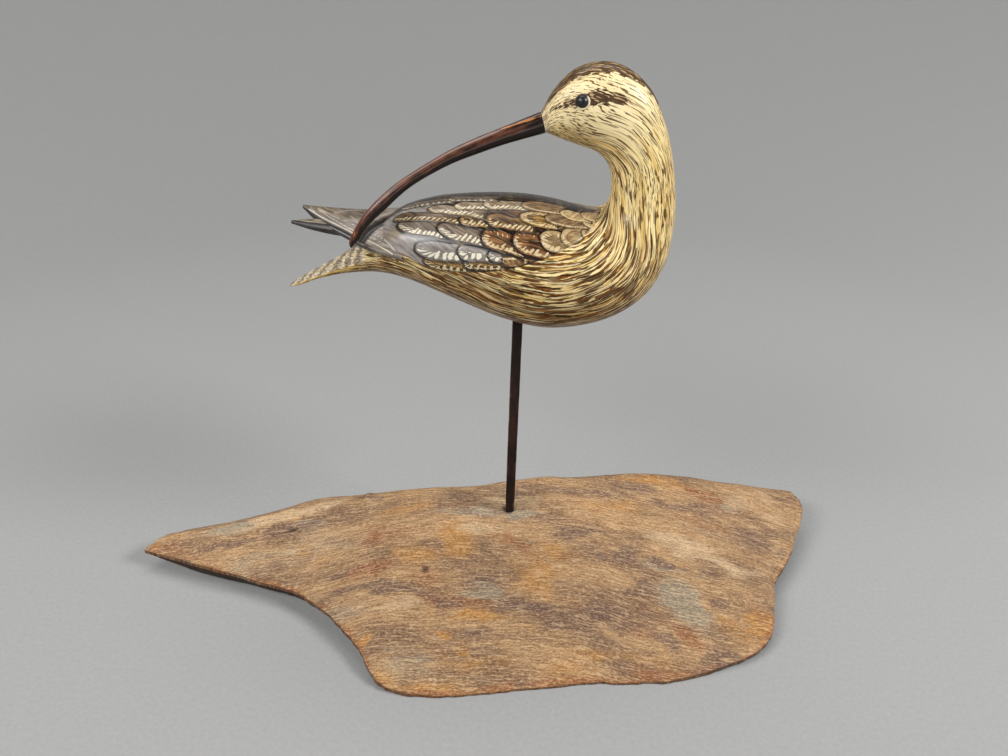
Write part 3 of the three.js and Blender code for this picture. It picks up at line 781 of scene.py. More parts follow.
# Kinds of feather: shares of slate, rust, tan and gilt; pitch, length, width and lean
# of the cream teeth in mm; how strong they are on the upper margin; strength of a cream
# rim, of brown arcs inside and of a dark heart; width of the dark gap round it in mm.
KINDS = {
    "dark": (0.45, 0.0, 0.0, 0.1, 2.1, 3.1, 1.3, 0.5, 0.0, 0.0, 0.0, 0.0, 1.3),
    "broad": (0.75, 0.0, 0.0, 0.0, 3.0, 3.5, 1.95, 0.2, 0.1, 0.0, 0.0, 0.0, 1.2),
    "rust": (0.0, 0.95, 0.0, 0.0, 2.0, 2.4, 1.35, 0.3, 0.6, 0.6, 0.0, 0.8, 1.7),
    "pale": (0.0, 0.4, 0.55, 0.0, 2.2, 2.5, 1.6, 0.3, 0.7, 0.5, 0.3, 0.55, 1.3),
    "gilt": (0.1, 0.4, 0.0, 0.25, 1.9, 2.6, 1.1, 0.75, 0.2, 0.0, 0.0, 0.8, 1.3),
    "bright": (0.0, 0.15, 0.0, 0.65, 1.6, 2.0, 1.0, 0.6, 0.9, 0.4, 0.0, 1.0, 0.8),
    "ladder": (0.0, 0.0, 0.0, 0.85, 2.9, 3.4, 1.3, 0.1, 0.0, 0.5, 0.0, 0.0, 0.7),
    "strip": (0.15, 0.1, 0.0, 0.15, 2.2, 3.0, 1.1, 0.85, 0.0, 0.0, 0.0, 0.4, 0.7),
    "ash": (0.35, 0.0, 0.35, 0.0, 1.9, 2.4, 1.0, 0.75, 0.2, 0.0, 0.0, 0.5, 0.6),
    "dotted": (0.3, 0.0, 0.1, 0.0, 2.3, 1.1, 1.05, 0.2, 0.0, 0.0, 0.0, 0.2, 0.4),
    "dusky": (0.1, 0.45, 0.25, 0.0, 1.8, 0.9, 0.0, 0.4, 0.0, 0.55, 0.3, 0.6, 0.5),
    "tan": (0.0, 0.05, 0.95, 0.0, 1.8, 0.9, 0.0, 0.4, 0.0, 0.7, 0.35, 0.25, 0.4),
    "arched": (0.0, 0.25, 0.7, 0.0, 1.9, 1.6, 0.9, 0.3, 0.4, 0.7, 0.9, 0.4, 0.6),
    "leaf": (0.0, 0.0, 0.0, 0.9, 1.3, 3.6, 0.0, 0.6, 0.0, 1.0, 0.9, 0.0, 0.7),
}
ROUND = 1.3
LONG = 2.6
RIB_PITCH = 13.0              # mean mm from rib to rib along a wing, and from row to row of the bill
WING_START = 3.32
WING_END = 12.38
BACK_TURN = 183.0             # degrees round: past 180, so that the wings overlap on the back
WING_EDGE_RADIUS = 1.1
WING_BURIAL = 1.4             # depth of a panel's underside below the skin in mm
ARC_PITCH = 2.2               # from stripe to stripe on a leaf feather in mm
FAR = 9                       # taken off a field in mm, it leaves nothing painted

# Feathers of one wing, row over row from the lowest, each row from its tail end: tip rib
# and turn, base rib and turn, half width in mm, length of the nose in half widths, kind.
FEATHERS = [
    (5.78, 91.9, 7.22, 96.8, 3.0, LONG, "ladder"),
    (6.99, 99.4, 8.21, 105.9, 2.6, ROUND, "ladder"),
    (5.56, 106.9, 7.17, 110.0, 3.9, LONG, "broad"),
    (6.85, 109.8, 8.10, 114.0, 3.3, ROUND, "broad"),
    (7.72, 113.3, 8.45, 109.8, 2.2, ROUND, "broad"),
    (8.82, 112.1, 8.07, 108.4, 2.1, LONG, "leaf"),
    (5.05, 142.5, 6.72, 128.5, 4.1, LONG, "dark"),
    (6.25, 132.7, 7.86, 125.0, 3.9, LONG, "dark"),
    (7.56, 128.6, 8.84, 121.5, 4.3, ROUND, "rust"),
    (8.47, 130.1, 9.77, 121.5, 5.3, ROUND, "rust"),
    (9.32, 132.9, 10.50, 121.5, 4.7, ROUND, "pale"),
    (9.99, 134.2, 11.18, 130.0, 5.4, ROUND, "arched"),
    (10.76, 138.7, 11.77, 131.0, 4.5, ROUND, "arched"),
    (4.87, 156.1, 7.17, 140.5, 2.4, LONG, "strip"),
    (6.93, 143.1, 8.04, 141.6, 3.3, ROUND, "gilt"),
    (7.68, 144.2, 9.24, 140.5, 3.5, ROUND, "gilt"),
    (8.72, 150.3, 10.09, 148.6, 4.6, LONG, "bright"),
    (9.61, 151.2, 11.20, 150.3, 4.2, LONG, "dusky"),
    (11.02, 152.6, 11.95, 146.3, 3.3, ROUND, "tan"),
    (11.65, 146.5, 12.21, 136.7, 2.4, ROUND, "tan"),
    (5.90, 158.7, 7.70, 148.6, 2.7, LONG, "ash"),
    (6.74, 159.8, 8.30, 159.6, 2.8, ROUND, "ash"),
    (7.60, 162.4, 9.17, 161.9, 3.4, ROUND, "ash"),
    (8.82, 163.3, 10.58, 165.9, 4.2, LONG, "dusky"),
    (10.27, 162.2, 11.48, 158.4, 3.9, ROUND, "tan"),
    (11.08, 163.9, 12.10, 161.6, 4.1, ROUND, "tan"),
    (11.74, 159.3, 12.30, 144.5, 2.6, ROUND, "tan"),
    (5.08, 173.4, 6.76, 169.1, 2.5, LONG, "dotted"),
    (6.50, 172.5, 8.10, 170.5, 2.5, ROUND, "dotted"),
]
FAR_WING_LIMIT = 158.0        # degrees round: past this the far wing is plain dark

# Pale hairlines on the primaries: rib and turn at both ends, half width in mm.
HAIRLINES = [
    (3.80, 158.1, 4.43, 100.8, 0.3),
    (3.96, 159.6, 4.56, 104.6, 0.2),
    (4.12, 160.4, 4.95, 98.8, 0.34),
]


def feather_frame(tip, base, side):
    """Tip point, unit vectors along and up across the feather, its outward normal and its length."""
    start = bird_skin(tip[0], side * tip[1])
    end = bird_skin(base[0], side * base[1])
    length = np.linalg.norm(end - start)
    run = (end - start) / length
    t, turn = (tip[0] + base[0]) / 2, side * (tip[1] + base[1]) / 2
    middle = bird_skin(t, turn)
    heart = bird_skin(t, [0.0, 180.0]).mean(0)
    normal = np.cross(bird_skin(t + 0.01, turn) - middle, bird_skin(t, turn + 0.5) - middle)
    normal *= np.sign(normal @ (middle - heart)) / np.linalg.norm(normal)
    across = side * np.cross(normal, run)
    return start, run, across / np.linalg.norm(across), normal, length


def feather_margin(s, c, half, nose, length):
    """How far inside a feather's margin each point lies, and how far round that margin, in mm.

    The margin is an ellipse over the nose, a straight edge closing a little behind it,
    and an end across the base.
    """
    nose_length = min(nose * half, 0.75 * length)
    front = (nose_length - s) / nose_length
    r = np.hypot(np.maximum(front, 0), c / half) + 1e-6
    slope = np.hypot(np.maximum(front, 0) / nose_length, c / half ** 2) / r
    side_edge = half * (1 - 0.1 * np.clip(-front, 0, 1)) - np.abs(c)
    margin = np.where(front > 0, (1 - r) / slope, side_edge)
    margin = np.minimum(margin, (length - s) * 1.5)
    angle = np.arctan2(np.abs(c) / half, np.maximum(front, 0))
    return margin, angle * (half + nose_length) / 2 + np.maximum(s - nose_length, 0)


def feather_teeth(margin, track, c, to_base, half, number, kind):
    """Cream paint of one feather, above 0 inside it.

    Lenses stand along the margin at the kind's pitch, leaning back from it, each with its
    own length and width. A kind may have a thin rim inside the margin as well.
    """
    pitch, long, wide, lean, upper, rim = kind
    shifted = (track - lean * margin) / pitch + 0.5 * (c > 0)
    count = np.floor(shifted)
    draw = scatter(count, np.sign(c) + number, 5)
    other = scatter(count, np.sign(c) + number, 8)
    x = (shifted - count - 0.5 + 0.3 * (draw - 0.5)) * pitch
    reach = long * (0.6 + 0.7 * other) / 2
    q = np.abs((margin - 0.35 - reach) / reach)
    tooth = wide * (0.4 + 0.22 * draw) * (1 - q ** 3.5) - np.abs(x)
    tooth = tooth - wide * (1 - upper) * smooth((c / half + 0.1) / 0.5) - FAR * (to_base < 1.2)
    ring = 0.42 * rim * (0.5 + noise(track / 3, 0 * track + number, 9)) - np.abs(margin - 0.95)
    ring = ring - FAR * (rim == 0)
    return np.maximum(tooth, ring - 0.5 * smooth(c / half + 0.3))


def hairlines(t, turn, margin):
    """How far inside the nearest pale hairline each point lies, where no feather covers it."""
    lines = np.full(t.shape, -1.0)
    for t0, turn0, t1, turn1, half in HAIRLINES:
        f = (t - t0) / (t1 - t0)
        step = np.radians(turn1 - turn0) * rib_radius((t0 + t1) / 2)
        steep = math.hypot(1, step / ((t1 - t0) * RIB_PITCH))
        gone = np.radians(np.abs(turn) - turn0 - (turn1 - turn0) * f) * rib_radius(t) / steep
        inside = half - np.abs(gone) - FAR * np.maximum(0, np.abs(f - 0.5) - 0.5)
        lines = np.maximum(lines, np.where(margin < 0.99, -1.0, inside))
    return lines


def paint_feathers(points, t, turn, side):
    """Fields of paint and relief over a wing, one feather laid on the next.

    In a feather's own plane s runs from the tip and c up across it, both made a little
    uneven by noise. Behind each feather's margin lies a dark gap.
    """
    colours = ("slate", "rust", "tan", "gilt")
    fields = {name: np.zeros(t.shape) for name in colours + ("arcs", "gap", "shadow")}
    fields["bare"] = smooth((t - 5.6) / 1.2)
    fields["slate"] = 0.95 * smooth((6.5 - t) / 0.6) * smooth((174 - turn) / 14)
    spot = 0.3 * np.exp(-((t - 4.9) / 0.3) ** 2 - ((turn - 130) / 11) ** 2)
    fields["rust"] = 0.35 * smooth((t - 6.6) / 1.2) * smooth((166 - turn) / 8)
    upper_end = 168 + 15 * smooth((t - 10.6) / 1.6)
    fields["tan"] = 0.45 * smooth((t - 9.6) / 1.5) * smooth((upper_end - turn) / 8) + spot
    fields["teeth"] = np.full(t.shape, -1.0)
    fields["margin"] = np.full(t.shape, 1.0)
    height = np.zeros(t.shape)
    for number, (tip_t, tip_turn, base_t, base_turn, half, nose, kind) in enumerate(FEATHERS):
        if side < 0 and tip_turn > FAR_WING_LIMIT:
            continue
        shares, tooth_shape, (arcs, heart, dark) = KINDS[kind][:4], KINDS[kind][4:10], KINDS[kind][10:]
        start, run, across, normal, length = feather_frame((tip_t, tip_turn), (base_t, base_turn), side)
        offset = points - start
        s, c, n = offset @ run, offset @ across, offset @ normal
        near = (s > -3) & (s < length + 1) & (np.abs(c) < half + 3) & (np.abs(n) < 9)
        s, c = s[near], c[near]
        c = c + 0.5 * (noise(s / 3.5, 0 * s + number, 3) - 0.5)
        s = s + 0.6 * (noise(c / 1.5, 0 * c + number, 4) - 0.5)
        margin, track = feather_margin(s, c, half, nose, length)
        inside = margin > 0
        tooth = feather_teeth(margin, track, c, length - s, half, number, tooth_shape)
        band = arcs * smooth(1 - np.abs(margin - 0.45 * half) / 0.5)
        stripe = smooth(0.5 + 1.2 * np.sin((s + 0.6 * c) * 2 * np.pi / ARC_PITCH)) * 0.8 * (kind == "leaf")
        inner = heart * smooth((margin - 0.35 * half) / (0.35 * half))
        inner = inner * smooth(noise(s / 4, c / 0.9, number) * 2.2 - 0.3)
        if kind == "ladder":
            inner = smooth(0.4 - c / (0.5 * half))

        gap = fields["gap"][near]
        fall = smooth(1 + (margin + 0.4 * dark) / dark)
        fields["gap"][near] = np.where(inside, 0.0, np.maximum(gap, 0.92 * fall))
        for name, share in zip(colours, shares):
            share = share * (1 - 0.9 * inner) * smooth((length - s) / 3)
            fields[name][near] = np.where(inside, share, fields[name][near])
        fields["arcs"][near] = np.where(inside, np.maximum(band, stripe), fields["arcs"][near])
        below = np.minimum(fields["teeth"][near], -margin - 0.6 * dark)
        fields["teeth"][near] = np.where(inside, tooth, below)
        fields["margin"][near] = np.where(inside, margin, fields["margin"][near])
        rise = FEATHER_STEP * (0.35 + 0.65 * np.clip(1 - s / length, 0, 1)) * smooth(margin / 0.4)
        height[near] = np.where(inside, rise, height[near] * smooth(-margin / 0.5))

    fields["lines"] = hairlines(t, turn, fields["margin"])
    return fields, height


def make_wing(name, side, material):
    """One folded wing: a thin closed panel over the skin, from its lower edge to the back.

    Its top stands WING_LIFT above the skin behind a quarter-round edge, thinning towards
    both ends, with the feathers' low steps on it, and dives under its neighbour at the
    middle of the back.
    """
    t = np.linspace(WING_START, WING_END, WING_RINGS)[:, None]
    edge = eased(WING_EDGE, t, 0.25)
    turn = edge + (BACK_TURN - edge) * np.linspace(0, 1, WING_TOP_SIDES)
    under_turn = edge + (BACK_TURN - edge) * np.linspace(1, 0, WING_UNDER_SIDES)
    fade = smooth((12.3 - t) / 3.2) * smooth((t - 3.5) / 2.2)
    inside = np.radians(turn - edge) * rib_radius(t)
    round_edge = np.sqrt(1 - (1 - np.clip(inside / WING_EDGE_RADIUS, 0, 1)) ** 2)
    dive = smooth((turn - 180.6) / 2.2)
    flat = bird_skin(t, side * turn, WING_LIFT)
    fields, height = paint_feathers(flat, t + 0 * turn, turn, side)
    ends = smooth((WING_END - t) / 0.12) * smooth((t - WING_START) / 0.12)
    raised = (0.58 + (WING_LIFT - 0.08) * fade) * round_edge * ends
    lift = -0.5 + raised + height * (0.3 + 0.7 * fade) - 1.2 * dive
    top = bird_skin(t, side * turn, lift)
    under = bird_skin(t, side * under_turn, -WING_BURIAL)
    marks = {key: np.pad(value, ((0, 0), (0, WING_UNDER_SIDES))) for key, value in fields.items()}
    turns = np.concatenate([turn, under_turn], 1)
    flow = np.stack([t * RIB_PITCH + 0 * turns, np.radians(turns) * rib_radius(t)], -1)
    flow = np.concatenate([flow, flow[:, :1]], 1)
    grid = np.concatenate([top, under], 1)
    loft(name, grid, material, ["carved_bird"], flow, marks)


# Pale lines on the upper wing tip: row and mm in from the near edge along each, half width.
BLADE_LINES = [
    ([(0.3, 0.3), (0.84, 2.3), (1.16, 3.0), (1.86, 2.5), (2.64, 2.6), (3.14, 2.3), (3.6, 1.6)], 0.24),
    ([(0.2, 1.4), (0.69, 3.9), (1.08, 4.9), (1.82, 3.9), (2.54, 4.7), (3.11, 6.3), (3.2, 6.8)], 0.17),
    ([(0.1, 2.2), (0.59, 5.3), (0.95, 7.2), (1.7, 7.2), (2.31, 6.7), (2.97, 6.7), (3.05, 6.9)], 0.15),
    ([(1.2, 22.0), (1.49, 20.0), (2.12, 14.4), (2.5, 8.6)], 0.15),
    ([(1.3, 9.2), (1.6, 10.5), (1.86, 11.6), (1.9, 12.0)], 0.17),
]
# Where that tip slides under the wing: mm in from its near edge, row.
BLADE_SEAM = [(0, 1.38), (4.2, 1.24), (7.2, 1.15), (10, 1.05), (14.6, 0.8), (19.6, 0.45)]
SEAM_DEPTH = 1.5
SEAM_WIDTH = 1.3
SEAM_SLANT = 1.2              # length along the blade for each mm straight away from the seam
BLADE_PITCH = 12.5            # mean length from row to row in mm
# Width of the painted shade along the near edge: row, mm.
BLADE_SIDE = [(0, 0.4), (0.9, 0.6), (1.6, 1.9), (2.6, 1.9), (3.4, 1.2), (4, 0.3)]
LOWER_BLADE_SIDE = [(0, 4.0), (2.4, 4.0), (3.2, 3.2), (4, 1.4)]


def make_blade(name, rows, material, side_width, lined):
    """One crossed wing tip: a blade between its near and far edges.

    Across it the point runs from edge to edge as (1 - cos) / 2, and its height leaves
    the middle by half the thickness times the sine to the power of 0.7. Painted shade
    darkens the side of the near edge, to a width in mm given by row, and the whole
    underside. The upper tip has a groove SEAM_DEPTH deep along its seam, with a
    bell-shaped section, and a painted shadow along it.
    """
    t = np.linspace(0, len(rows) - 1, BLADE_RINGS)[:, None]
    phi = np.linspace(0, 2 * np.pi, BLADE_SIDES + 1)[None, :]
    row = along(rows, t + 0 * phi)
    share = (1 - np.cos(phi)) / 2 + 0 * t
    grid = row[..., 0:3] + (row[..., 3:6] - row[..., 0:3]) * share[..., None]
    grid[..., 2] -= row[..., 6] / 2 * np.sign(np.sin(phi)) * np.abs(np.sin(phi)) ** 0.7
    across = share * np.linalg.norm(row[..., 3:6] - row[..., 0:3], axis=-1)
    lines = np.full(across.shape, -1.0)
    for pairs, half in BLADE_LINES if lined else []:
        keys, places = np.array(pairs).T
        steep = np.interp(t, (keys[1:] + keys[:-1]) / 2, np.diff(places) / np.diff(keys)) / BLADE_PITCH
        gone = (across - np.interp(t, keys, places)) / np.hypot(1, steep)
        inside = half - np.abs(gone) - FAR * (np.maximum(keys[0] - t, 0) + np.maximum(t - keys[-1], 0))
        lines = np.maximum(lines, inside)
    on_top = np.sin(phi) < 0.02
    from_seam = (t - np.interp(across, *np.transpose(BLADE_SEAM))) * BLADE_PITCH / SEAM_SLANT
    seam_ends = lined * on_top * smooth((22 - across) / 4) * smooth(across / 1.5)
    grid[..., 2] -= SEAM_DEPTH * seam_ends * np.exp(-(from_seam / SEAM_WIDTH) ** 2)
    edge = eased(side_width, t, 0.2)
    # Painted shade on the near edge's side and on the underside, and painted shadow along the seam, carried
    # by the shadow field.
    deep = 0.3 + 0.55 * smooth((t - 0.6) / 0.9)
    shadow = np.where(on_top, deep * smooth((edge - across) / 0.5 + 0.5), deep)
    shadow = np.maximum(shadow, 0.95 * seam_ends * smooth((2.4 - np.abs(from_seam)) / 1.4))
    slate = 0.62 - 0.5 * noise(t * 3, across / 1.5, 31) - 0.4 * (not lined) * smooth((t - 3.2) / 0.7)
    slate = slate + 0.25 * lined * smooth(-from_seam / 2)
    # edge_highlight: a pale line just past the dark edge of the lower tip, a painted highlight on its top
    # edge.
    edge_highlight = smooth(1 - np.abs(across - edge - 0.6) / 0.6) * (not lined) * on_top
    flow = np.stack([t * BLADE_PITCH + 0 * across, across], -1)
    marks = {
        "slate": slate, "shadow": shadow, "tan": 0.2 * noise(t * 2, across / 3, 32),
        "teeth": 0 * across - 1.0, "margin": 0 * across + 1.0,
        "lines": np.maximum(np.where(on_top, lines, -1.0), 0.5 * edge_highlight - 0.4),
    }
    marks = {key: value[:, :-1] for key, value in marks.items()}
    loft(name, grid[:, :-1], material, ["carved_bird"], flow, marks)


def make_eyes(glass, lid):
    """Glass ball sunk in each cheek, and the painted lid where the ball leaves the skin."""
    for name, side in (("right", 1), ("left", -1)):
        centre = bird_skin(EYE_RIB, side * EYE_TURN)
        centre[1] += side * EYE_SINK
        polar = np.linspace(0, np.pi, EYE_RINGS + 2)[1:-1, None]
        x = np.sin(polar) * np.cos(once_round(EYE_SIDES))
        z = np.sin(polar) * np.sin(once_round(EYE_SIDES))
        ball = centre + EYE_RADIUS * np.stack([x, np.cos(polar) + 0 * x, z], -1)
        loft("glass_ball_" + name, ball, glass, ["glass_eye_" + name])
        make_lid("painted_lid_" + name, centre, side, lid)


def make_lid(name, centre, side, material):
    """Ring of paint on the skin round an eye.

    The skin points that lie LID_RADIUS from the eye in side view are found by Newton
    steps on rib and turn, and a small circle is carried round them.
    """
    angle = once_round(LID_RINGS)
    target = centre[[0, 2]] + LID_RADIUS * np.stack([np.cos(angle), np.sin(angle)], -1)
    t = np.full(angle.shape, EYE_RIB)
    turn = np.full(angle.shape, side * EYE_TURN)
    for _ in range(12):
        here = bird_skin(t, turn)[:, [0, 2]]
        by_t = (bird_skin(t + 1e-3, turn)[:, [0, 2]] - here) / 1e-3
        by_turn = (bird_skin(t, turn + 1e-2)[:, [0, 2]] - here) / 1e-2
        miss = target - here
        det = by_t[:, 0] * by_turn[:, 1] - by_t[:, 1] * by_turn[:, 0]
        t = t + np.clip((miss[:, 0] * by_turn[:, 1] - miss[:, 1] * by_turn[:, 0]) / det, -0.2, 0.2)
        turn = turn + np.clip((by_t[:, 0] * miss[:, 1] - by_t[:, 1] * miss[:, 0]) / det, -8, 8)
    spine = bird_skin(t, turn)
    outward = np.array([0.0, -side, 0.0])
    radial = spine - centre
    radial[:, 1] = 0
    radial /= np.linalg.norm(radial, axis=1, keepdims=True)
    tube = once_round(LID_SIDES)[None, :, None]
    grid = spine[:, None] + LID_TUBE * (1.5 * np.cos(tube) * radial[:, None] + np.sin(tube) * outward)
    # Pale towards the back and below the eye; the brown on the other side is painted shade.
    pale = smooth((np.cos(angle + 0.75) + 0.25) / 0.4)[:, None] + 0 * tube[..., 0]
    loft(name, grid, material, ["carved_bird"], marks={"pale": pale}, looped=True)


def make_bill(material):
    """Down-curved bill: an ellipse round each row, a groove between its halves.

    phi is 0 on the upper ridge and 90 degrees on the near side. The groove takes up to
    BILL_GROOVE off the half width round 98 degrees, and the tip ends in a half ball.
    """
    t = np.linspace(0.02, len(BILL) - 1, BILL_RINGS)[:, None]
    phi = np.linspace(0, 2 * np.pi, BILL_SIDES + 1)[None, :]
    row = along(BILL, t + 0 * phi)
    degrees = np.degrees(np.arccos(np.cos(phi)))
    groove = BILL_GROOVE * np.exp(-((degrees - 98) / 9) ** 2) * smooth((8.6 - t) / 1.5)
    keel = 1 - 0.12 * smooth((55 - degrees) / 40)
    wide = (row[..., 4] - groove) * keel
    half_x = (row[..., 0] - row[..., 2]) / 2
    half_z = (row[..., 1] - row[..., 3]) / 2
    nose = np.sqrt(1 - np.clip((t - 8.86) / 0.14, 0, 0.98) ** 2)
    x = (row[..., 0] + row[..., 2]) / 2 + half_x * np.cos(phi) * nose
    z = (row[..., 1] + row[..., 3]) / 2 + half_z * np.cos(phi) * nose
    y = row[..., 5] - wide * np.sin(phi) * nose
    grid = np.stack([x, y, z], -1)
    near = np.sin(phi) > -0.2
    warm_share = 0.42 + 0.1 * smooth((t - 2.0) / 2.5) + 0.2 * smooth(1 - np.abs(t - 8.1) / 0.9)
    warm_share = warm_share * smooth((125 - degrees) / 60)
    # Painted highlight: a pale band along the ridge and a thin one by the groove, on the near side only.
    ridge_highlight = 0.55 * smooth(1 - np.abs(degrees - 34) / 22) * smooth((t - 0.8) / 0.8)
    groove_highlight = 0.3 * np.exp(-((degrees - 92) / 4) ** 2)
    painted_highlight = np.maximum(ridge_highlight, groove_highlight) * smooth((7.6 - t) / 2.5) * near
    by_face = 0.8 * smooth(1 - np.abs(degrees - 46 + 20 * t) / 25) * smooth((1.45 - t) / 0.4)
    by_tip = 0.62 * smooth(1 - np.abs(t - 8.1) / 0.45) * smooth(1 - np.abs(degrees - 60) / 40)
    bare = np.maximum(by_face, by_tip) * near
    flow = np.stack([t * RIB_PITCH + 0 * phi, phi * row[..., 4]], -1)
    marks = {"warm_share": warm_share[:, :-1], "bare": bare[:, :-1], "painted_highlight": painted_highlight[:, :-1]}
    loft("lacquered_bill", grid[:, :-1], material, ["bill"], flow, marks)


def make_rod(material):
    """Whittled square rod, necked where it enters the slab.

    Its section is a square rounded by the power ROD_POWER. Knife cuts take up to
    KNIFE_CUT off it in facets a few millimetres long, and finer ones up to SCRAPE.
    """
    z = np.linspace(rod_box[0][2], rod_box[1][2], ROD_RINGS)[:, None]
    angle = once_round(ROD_SIDES)[None, :]
    side = ROD_NECK + (ROD_SIDE - ROD_NECK) * smooth((z - slab_height_at_rod) / ROD_NECK_LENGTH)
    square = (np.abs(np.cos(angle)) ** ROD_POWER + np.abs(np.sin(angle)) ** ROD_POWER) ** (-1 / ROD_POWER)
    cuts = KNIFE_CUT * noise(z / 7, angle * 1.6, 21) + SCRAPE * noise(z / 1.5, angle * 5, 22)
    radius = side / 2 * np.minimum(square, 1.24) - cuts
    grid = np.stack([radius * np.cos(angle), radius * np.sin(angle), z + 0 * angle], -1)
    edge = smooth((square - 1.08) / 0.14) * 0.3 + 0 * z
    loft("whittled_rod", grid, material, ["support_rod"], marks={"edge": edge})


# Slab of driftwood

# Clouds of colour on the slab by kind: centre x, y, half length, half width in mm, turn
# in degrees, strength.
CLOUDS = {
    "pale": [
        (-127, -1, 38, 4, 17, 0.7), (-100, -20, 30, 10, 10, 0.35), (-58, -55, 26, 5, 4, 0.4),
        (4, 5, 22, 3, 0, 0.4), (-12, -12, 14, 4, 0, 0.35), (140, 20, 18, 9, -15, 0.3),
        (92, -14, 20, 5, -12, 0.6), (112, -23, 22, 4, -14, 0.6),
    ],
    "silver": [
        (-150, -9, 16, 3, 17, 0.6), (-112, -7, 13, 4, 9, 0.45), (-125, -28, 24, 6, 12, 0.3),
        (-80, -60, 16, 5, -5, 0.3), (-48, -84, 14, 6, 4, 0.4), (-19, -2, 14, 4, 0, 0.8),
        (7, -1, 12, 4, -4, 0.7), (-10, -48, 12, 4.5, -8, 0.85), (124, 13, 7, 4, -20, 0.6),
        (80, -28, 12, 3, -12, 0.5), (88, -48, 17, 8, -38, 0.85),
    ],
    "plum": [
        (-147, -17, 22, 3.5, 14, 0.5), (-169, -27, 6, 2, 15, 0.7), (-120, -10, 16, 3.2, 9, 0.85),
        (-79, 12, 7, 3, 0, 0.9), (-146, -4, 4, 2, 0, 0.6), (-84, -37, 6, 3, 10, 0.5),
        (-68, -47, 26, 4, 4, 0.6), (-36, -50, 20, 3.5, -12, 0.5), (-23, -2, 8, 3, 0, 0.35),
        (-10, 9, 26, 3, 0, 0.4), (-12, -42, 18, 5, -12, 0.4), (10, -54, 22, 3, -5, 0.6),
        (-12, -70, 24, 7, -4, 0.35), (31, -12, 11, 4.5, -14, 0.8), (21, -7, 8, 3, -10, 0.5),
        (41, -12, 8, 2.5, -10, 0.6), (49, -28, 4, 2.5, 0, 0.85), (61, -23, 6, 4, 25, 0.9),
        (69, -38, 6, 3, 0, 0.7), (36, 14, 30, 4, 0, 0.45), (68, 17, 20, 5, -4, 0.5),
        (92, 8, 22, 4, -8, 0.5), (132, -3, 18, 5, -14, 0.45), (152, -9, 5, 4, 0, 0.55),
        (84, -28, 13, 2.4, -12, 0.8), (103, -33, 6, 2.4, -15, 0.7), (120, -40, 18, 6, -30, 0.3),
        (66, -43, 7, 2.6, -10, 0.7), (108, -45, 7, 3, -15, 0.6), (52, -56, 20, 6, -14, 0.65),
        (74, -66, 13, 4, -30, 0.6), (30, -62, 18, 5, -4, 0.45), (100, -76, 15, 5, 8, 0.75),
    ],
    "red": [
        (-176, -22, 17, 5, -5, 0.55), (-62, -14, 26, 7, 6, 0.35), (-71, -35, 15, 6, 12, 0.6),
        (-45, -40, 16, 6, -15, 0.5), (-33, -76, 10, 7, 0, 0.35), (3, -22, 12, 5, -20, 0.45),
        (-28, -52, 26, 4, -8, 0.5), (112, 21, 10, 5, -14, 0.7), (104, 2, 16, 5, -14, 0.45),
        (62, -60, 12, 5, -30, 0.5), (90, -66, 12, 5, -35, 0.5), (75, -82, 26, 3, 2, 0.5),
        (128, -50, 5, 9, 10, 0.4),
    ],
    "ochre": [
        (-186, -19, 5, 3, 20, 0.6), (-117, -1, 5, 3, 10, 0.7), (-96, -28, 3, 2, 0, 0.7),
        (-110, -25, 2.5, 2.5, 0, 0.7), (-55, 0, 26, 4, 6, 0.3), (-28, -20, 13, 9, -25, 0.6),
        (-26, -25, 5, 3, -10, 0.5), (-50, -28, 20, 8, -10, 0.35), (-66, -74, 3, 5, -60, 0.8),
        (-57, -90, 8, 4, -30, 0.6), (-36, -95, 26, 4, 0, 0.55), (12, -34, 17, 12, -50, 0.5),
        (24, -22, 16, 5, -12, 0.35), (-12, -60, 20, 2.6, -6, 0.7), (-32, -67, 3, 2, 0, 0.8),
        (-19, -74, 4, 2, 0, 0.8), (6, -83, 40, 6, 2, 0.3), (85, 28, 26, 4, -2, 0.6),
        (60, 26, 14, 3, 0, 0.4), (60, 4, 26, 6, -8, 0.4), (126, -57, 9, 8, 30, 0.7),
        (112, -60, 12, 5, -20, 0.4), (50, -76, 26, 5, 0, 0.45),
    ],
}
# Hollows, in mm: centre x, y, radius and depth, or centre x, y, half length, half width,
# slope and depth.
KNOT = (-42.1, -36.6, 2.0, 0.7)
ROD_DISH = (-0.7, 0.3, 3.1, 0.9)
ROD_RING_RADIUS = 3.0         # of the dark paint in that dish
CRACK = (-117.5, -9.4, 3.6, 0.75, 0.3, 1.3)
VALLEY = (-144, -17, 26, 5, 0.26, 1.3)
# Bumps: centre x, y, half length, height, all BUMP_WIDTH to either side.
BUMPS = [
    (-79, 12.5, 2.4, 2.4), (-146, -5, 4, 1.0), (21, 22.5, 9, 1.3), (-20, -22, 22, 1.2), (90, -48, 12, 0.8),
]
BUMP_WIDTH = 4.0
RIDGE_SHARE = 0.75            # of the way across the top, where the ridge is
UNDER_FLOW = 300.0            # mm: keeps the underside's pattern apart from the top's
UNDER_SHADE = 0.92            # share of shadow colour on the underside and on the rims
RIM_SHADE = 0.47


def hollow(x, y, centre_x, centre_y, radius, power):
    """Share of a round hollow: e to minus the distance over its radius, raised to the power."""
    return np.exp(-(np.hypot(x - centre_x, y - centre_y) / radius) ** power)


def furrow(x, y, centre_x, centre_y, long, wide, slope, power):
    """Share of a long hollow or bump: e to minus the sum of the way along it over its half
    length, raised to the power, and the way across it over its half width, squared."""
    side = (y - centre_y - slope * (x - centre_x)) / wide
    return np.exp(-((x - centre_x) / long) ** power - side ** 2)


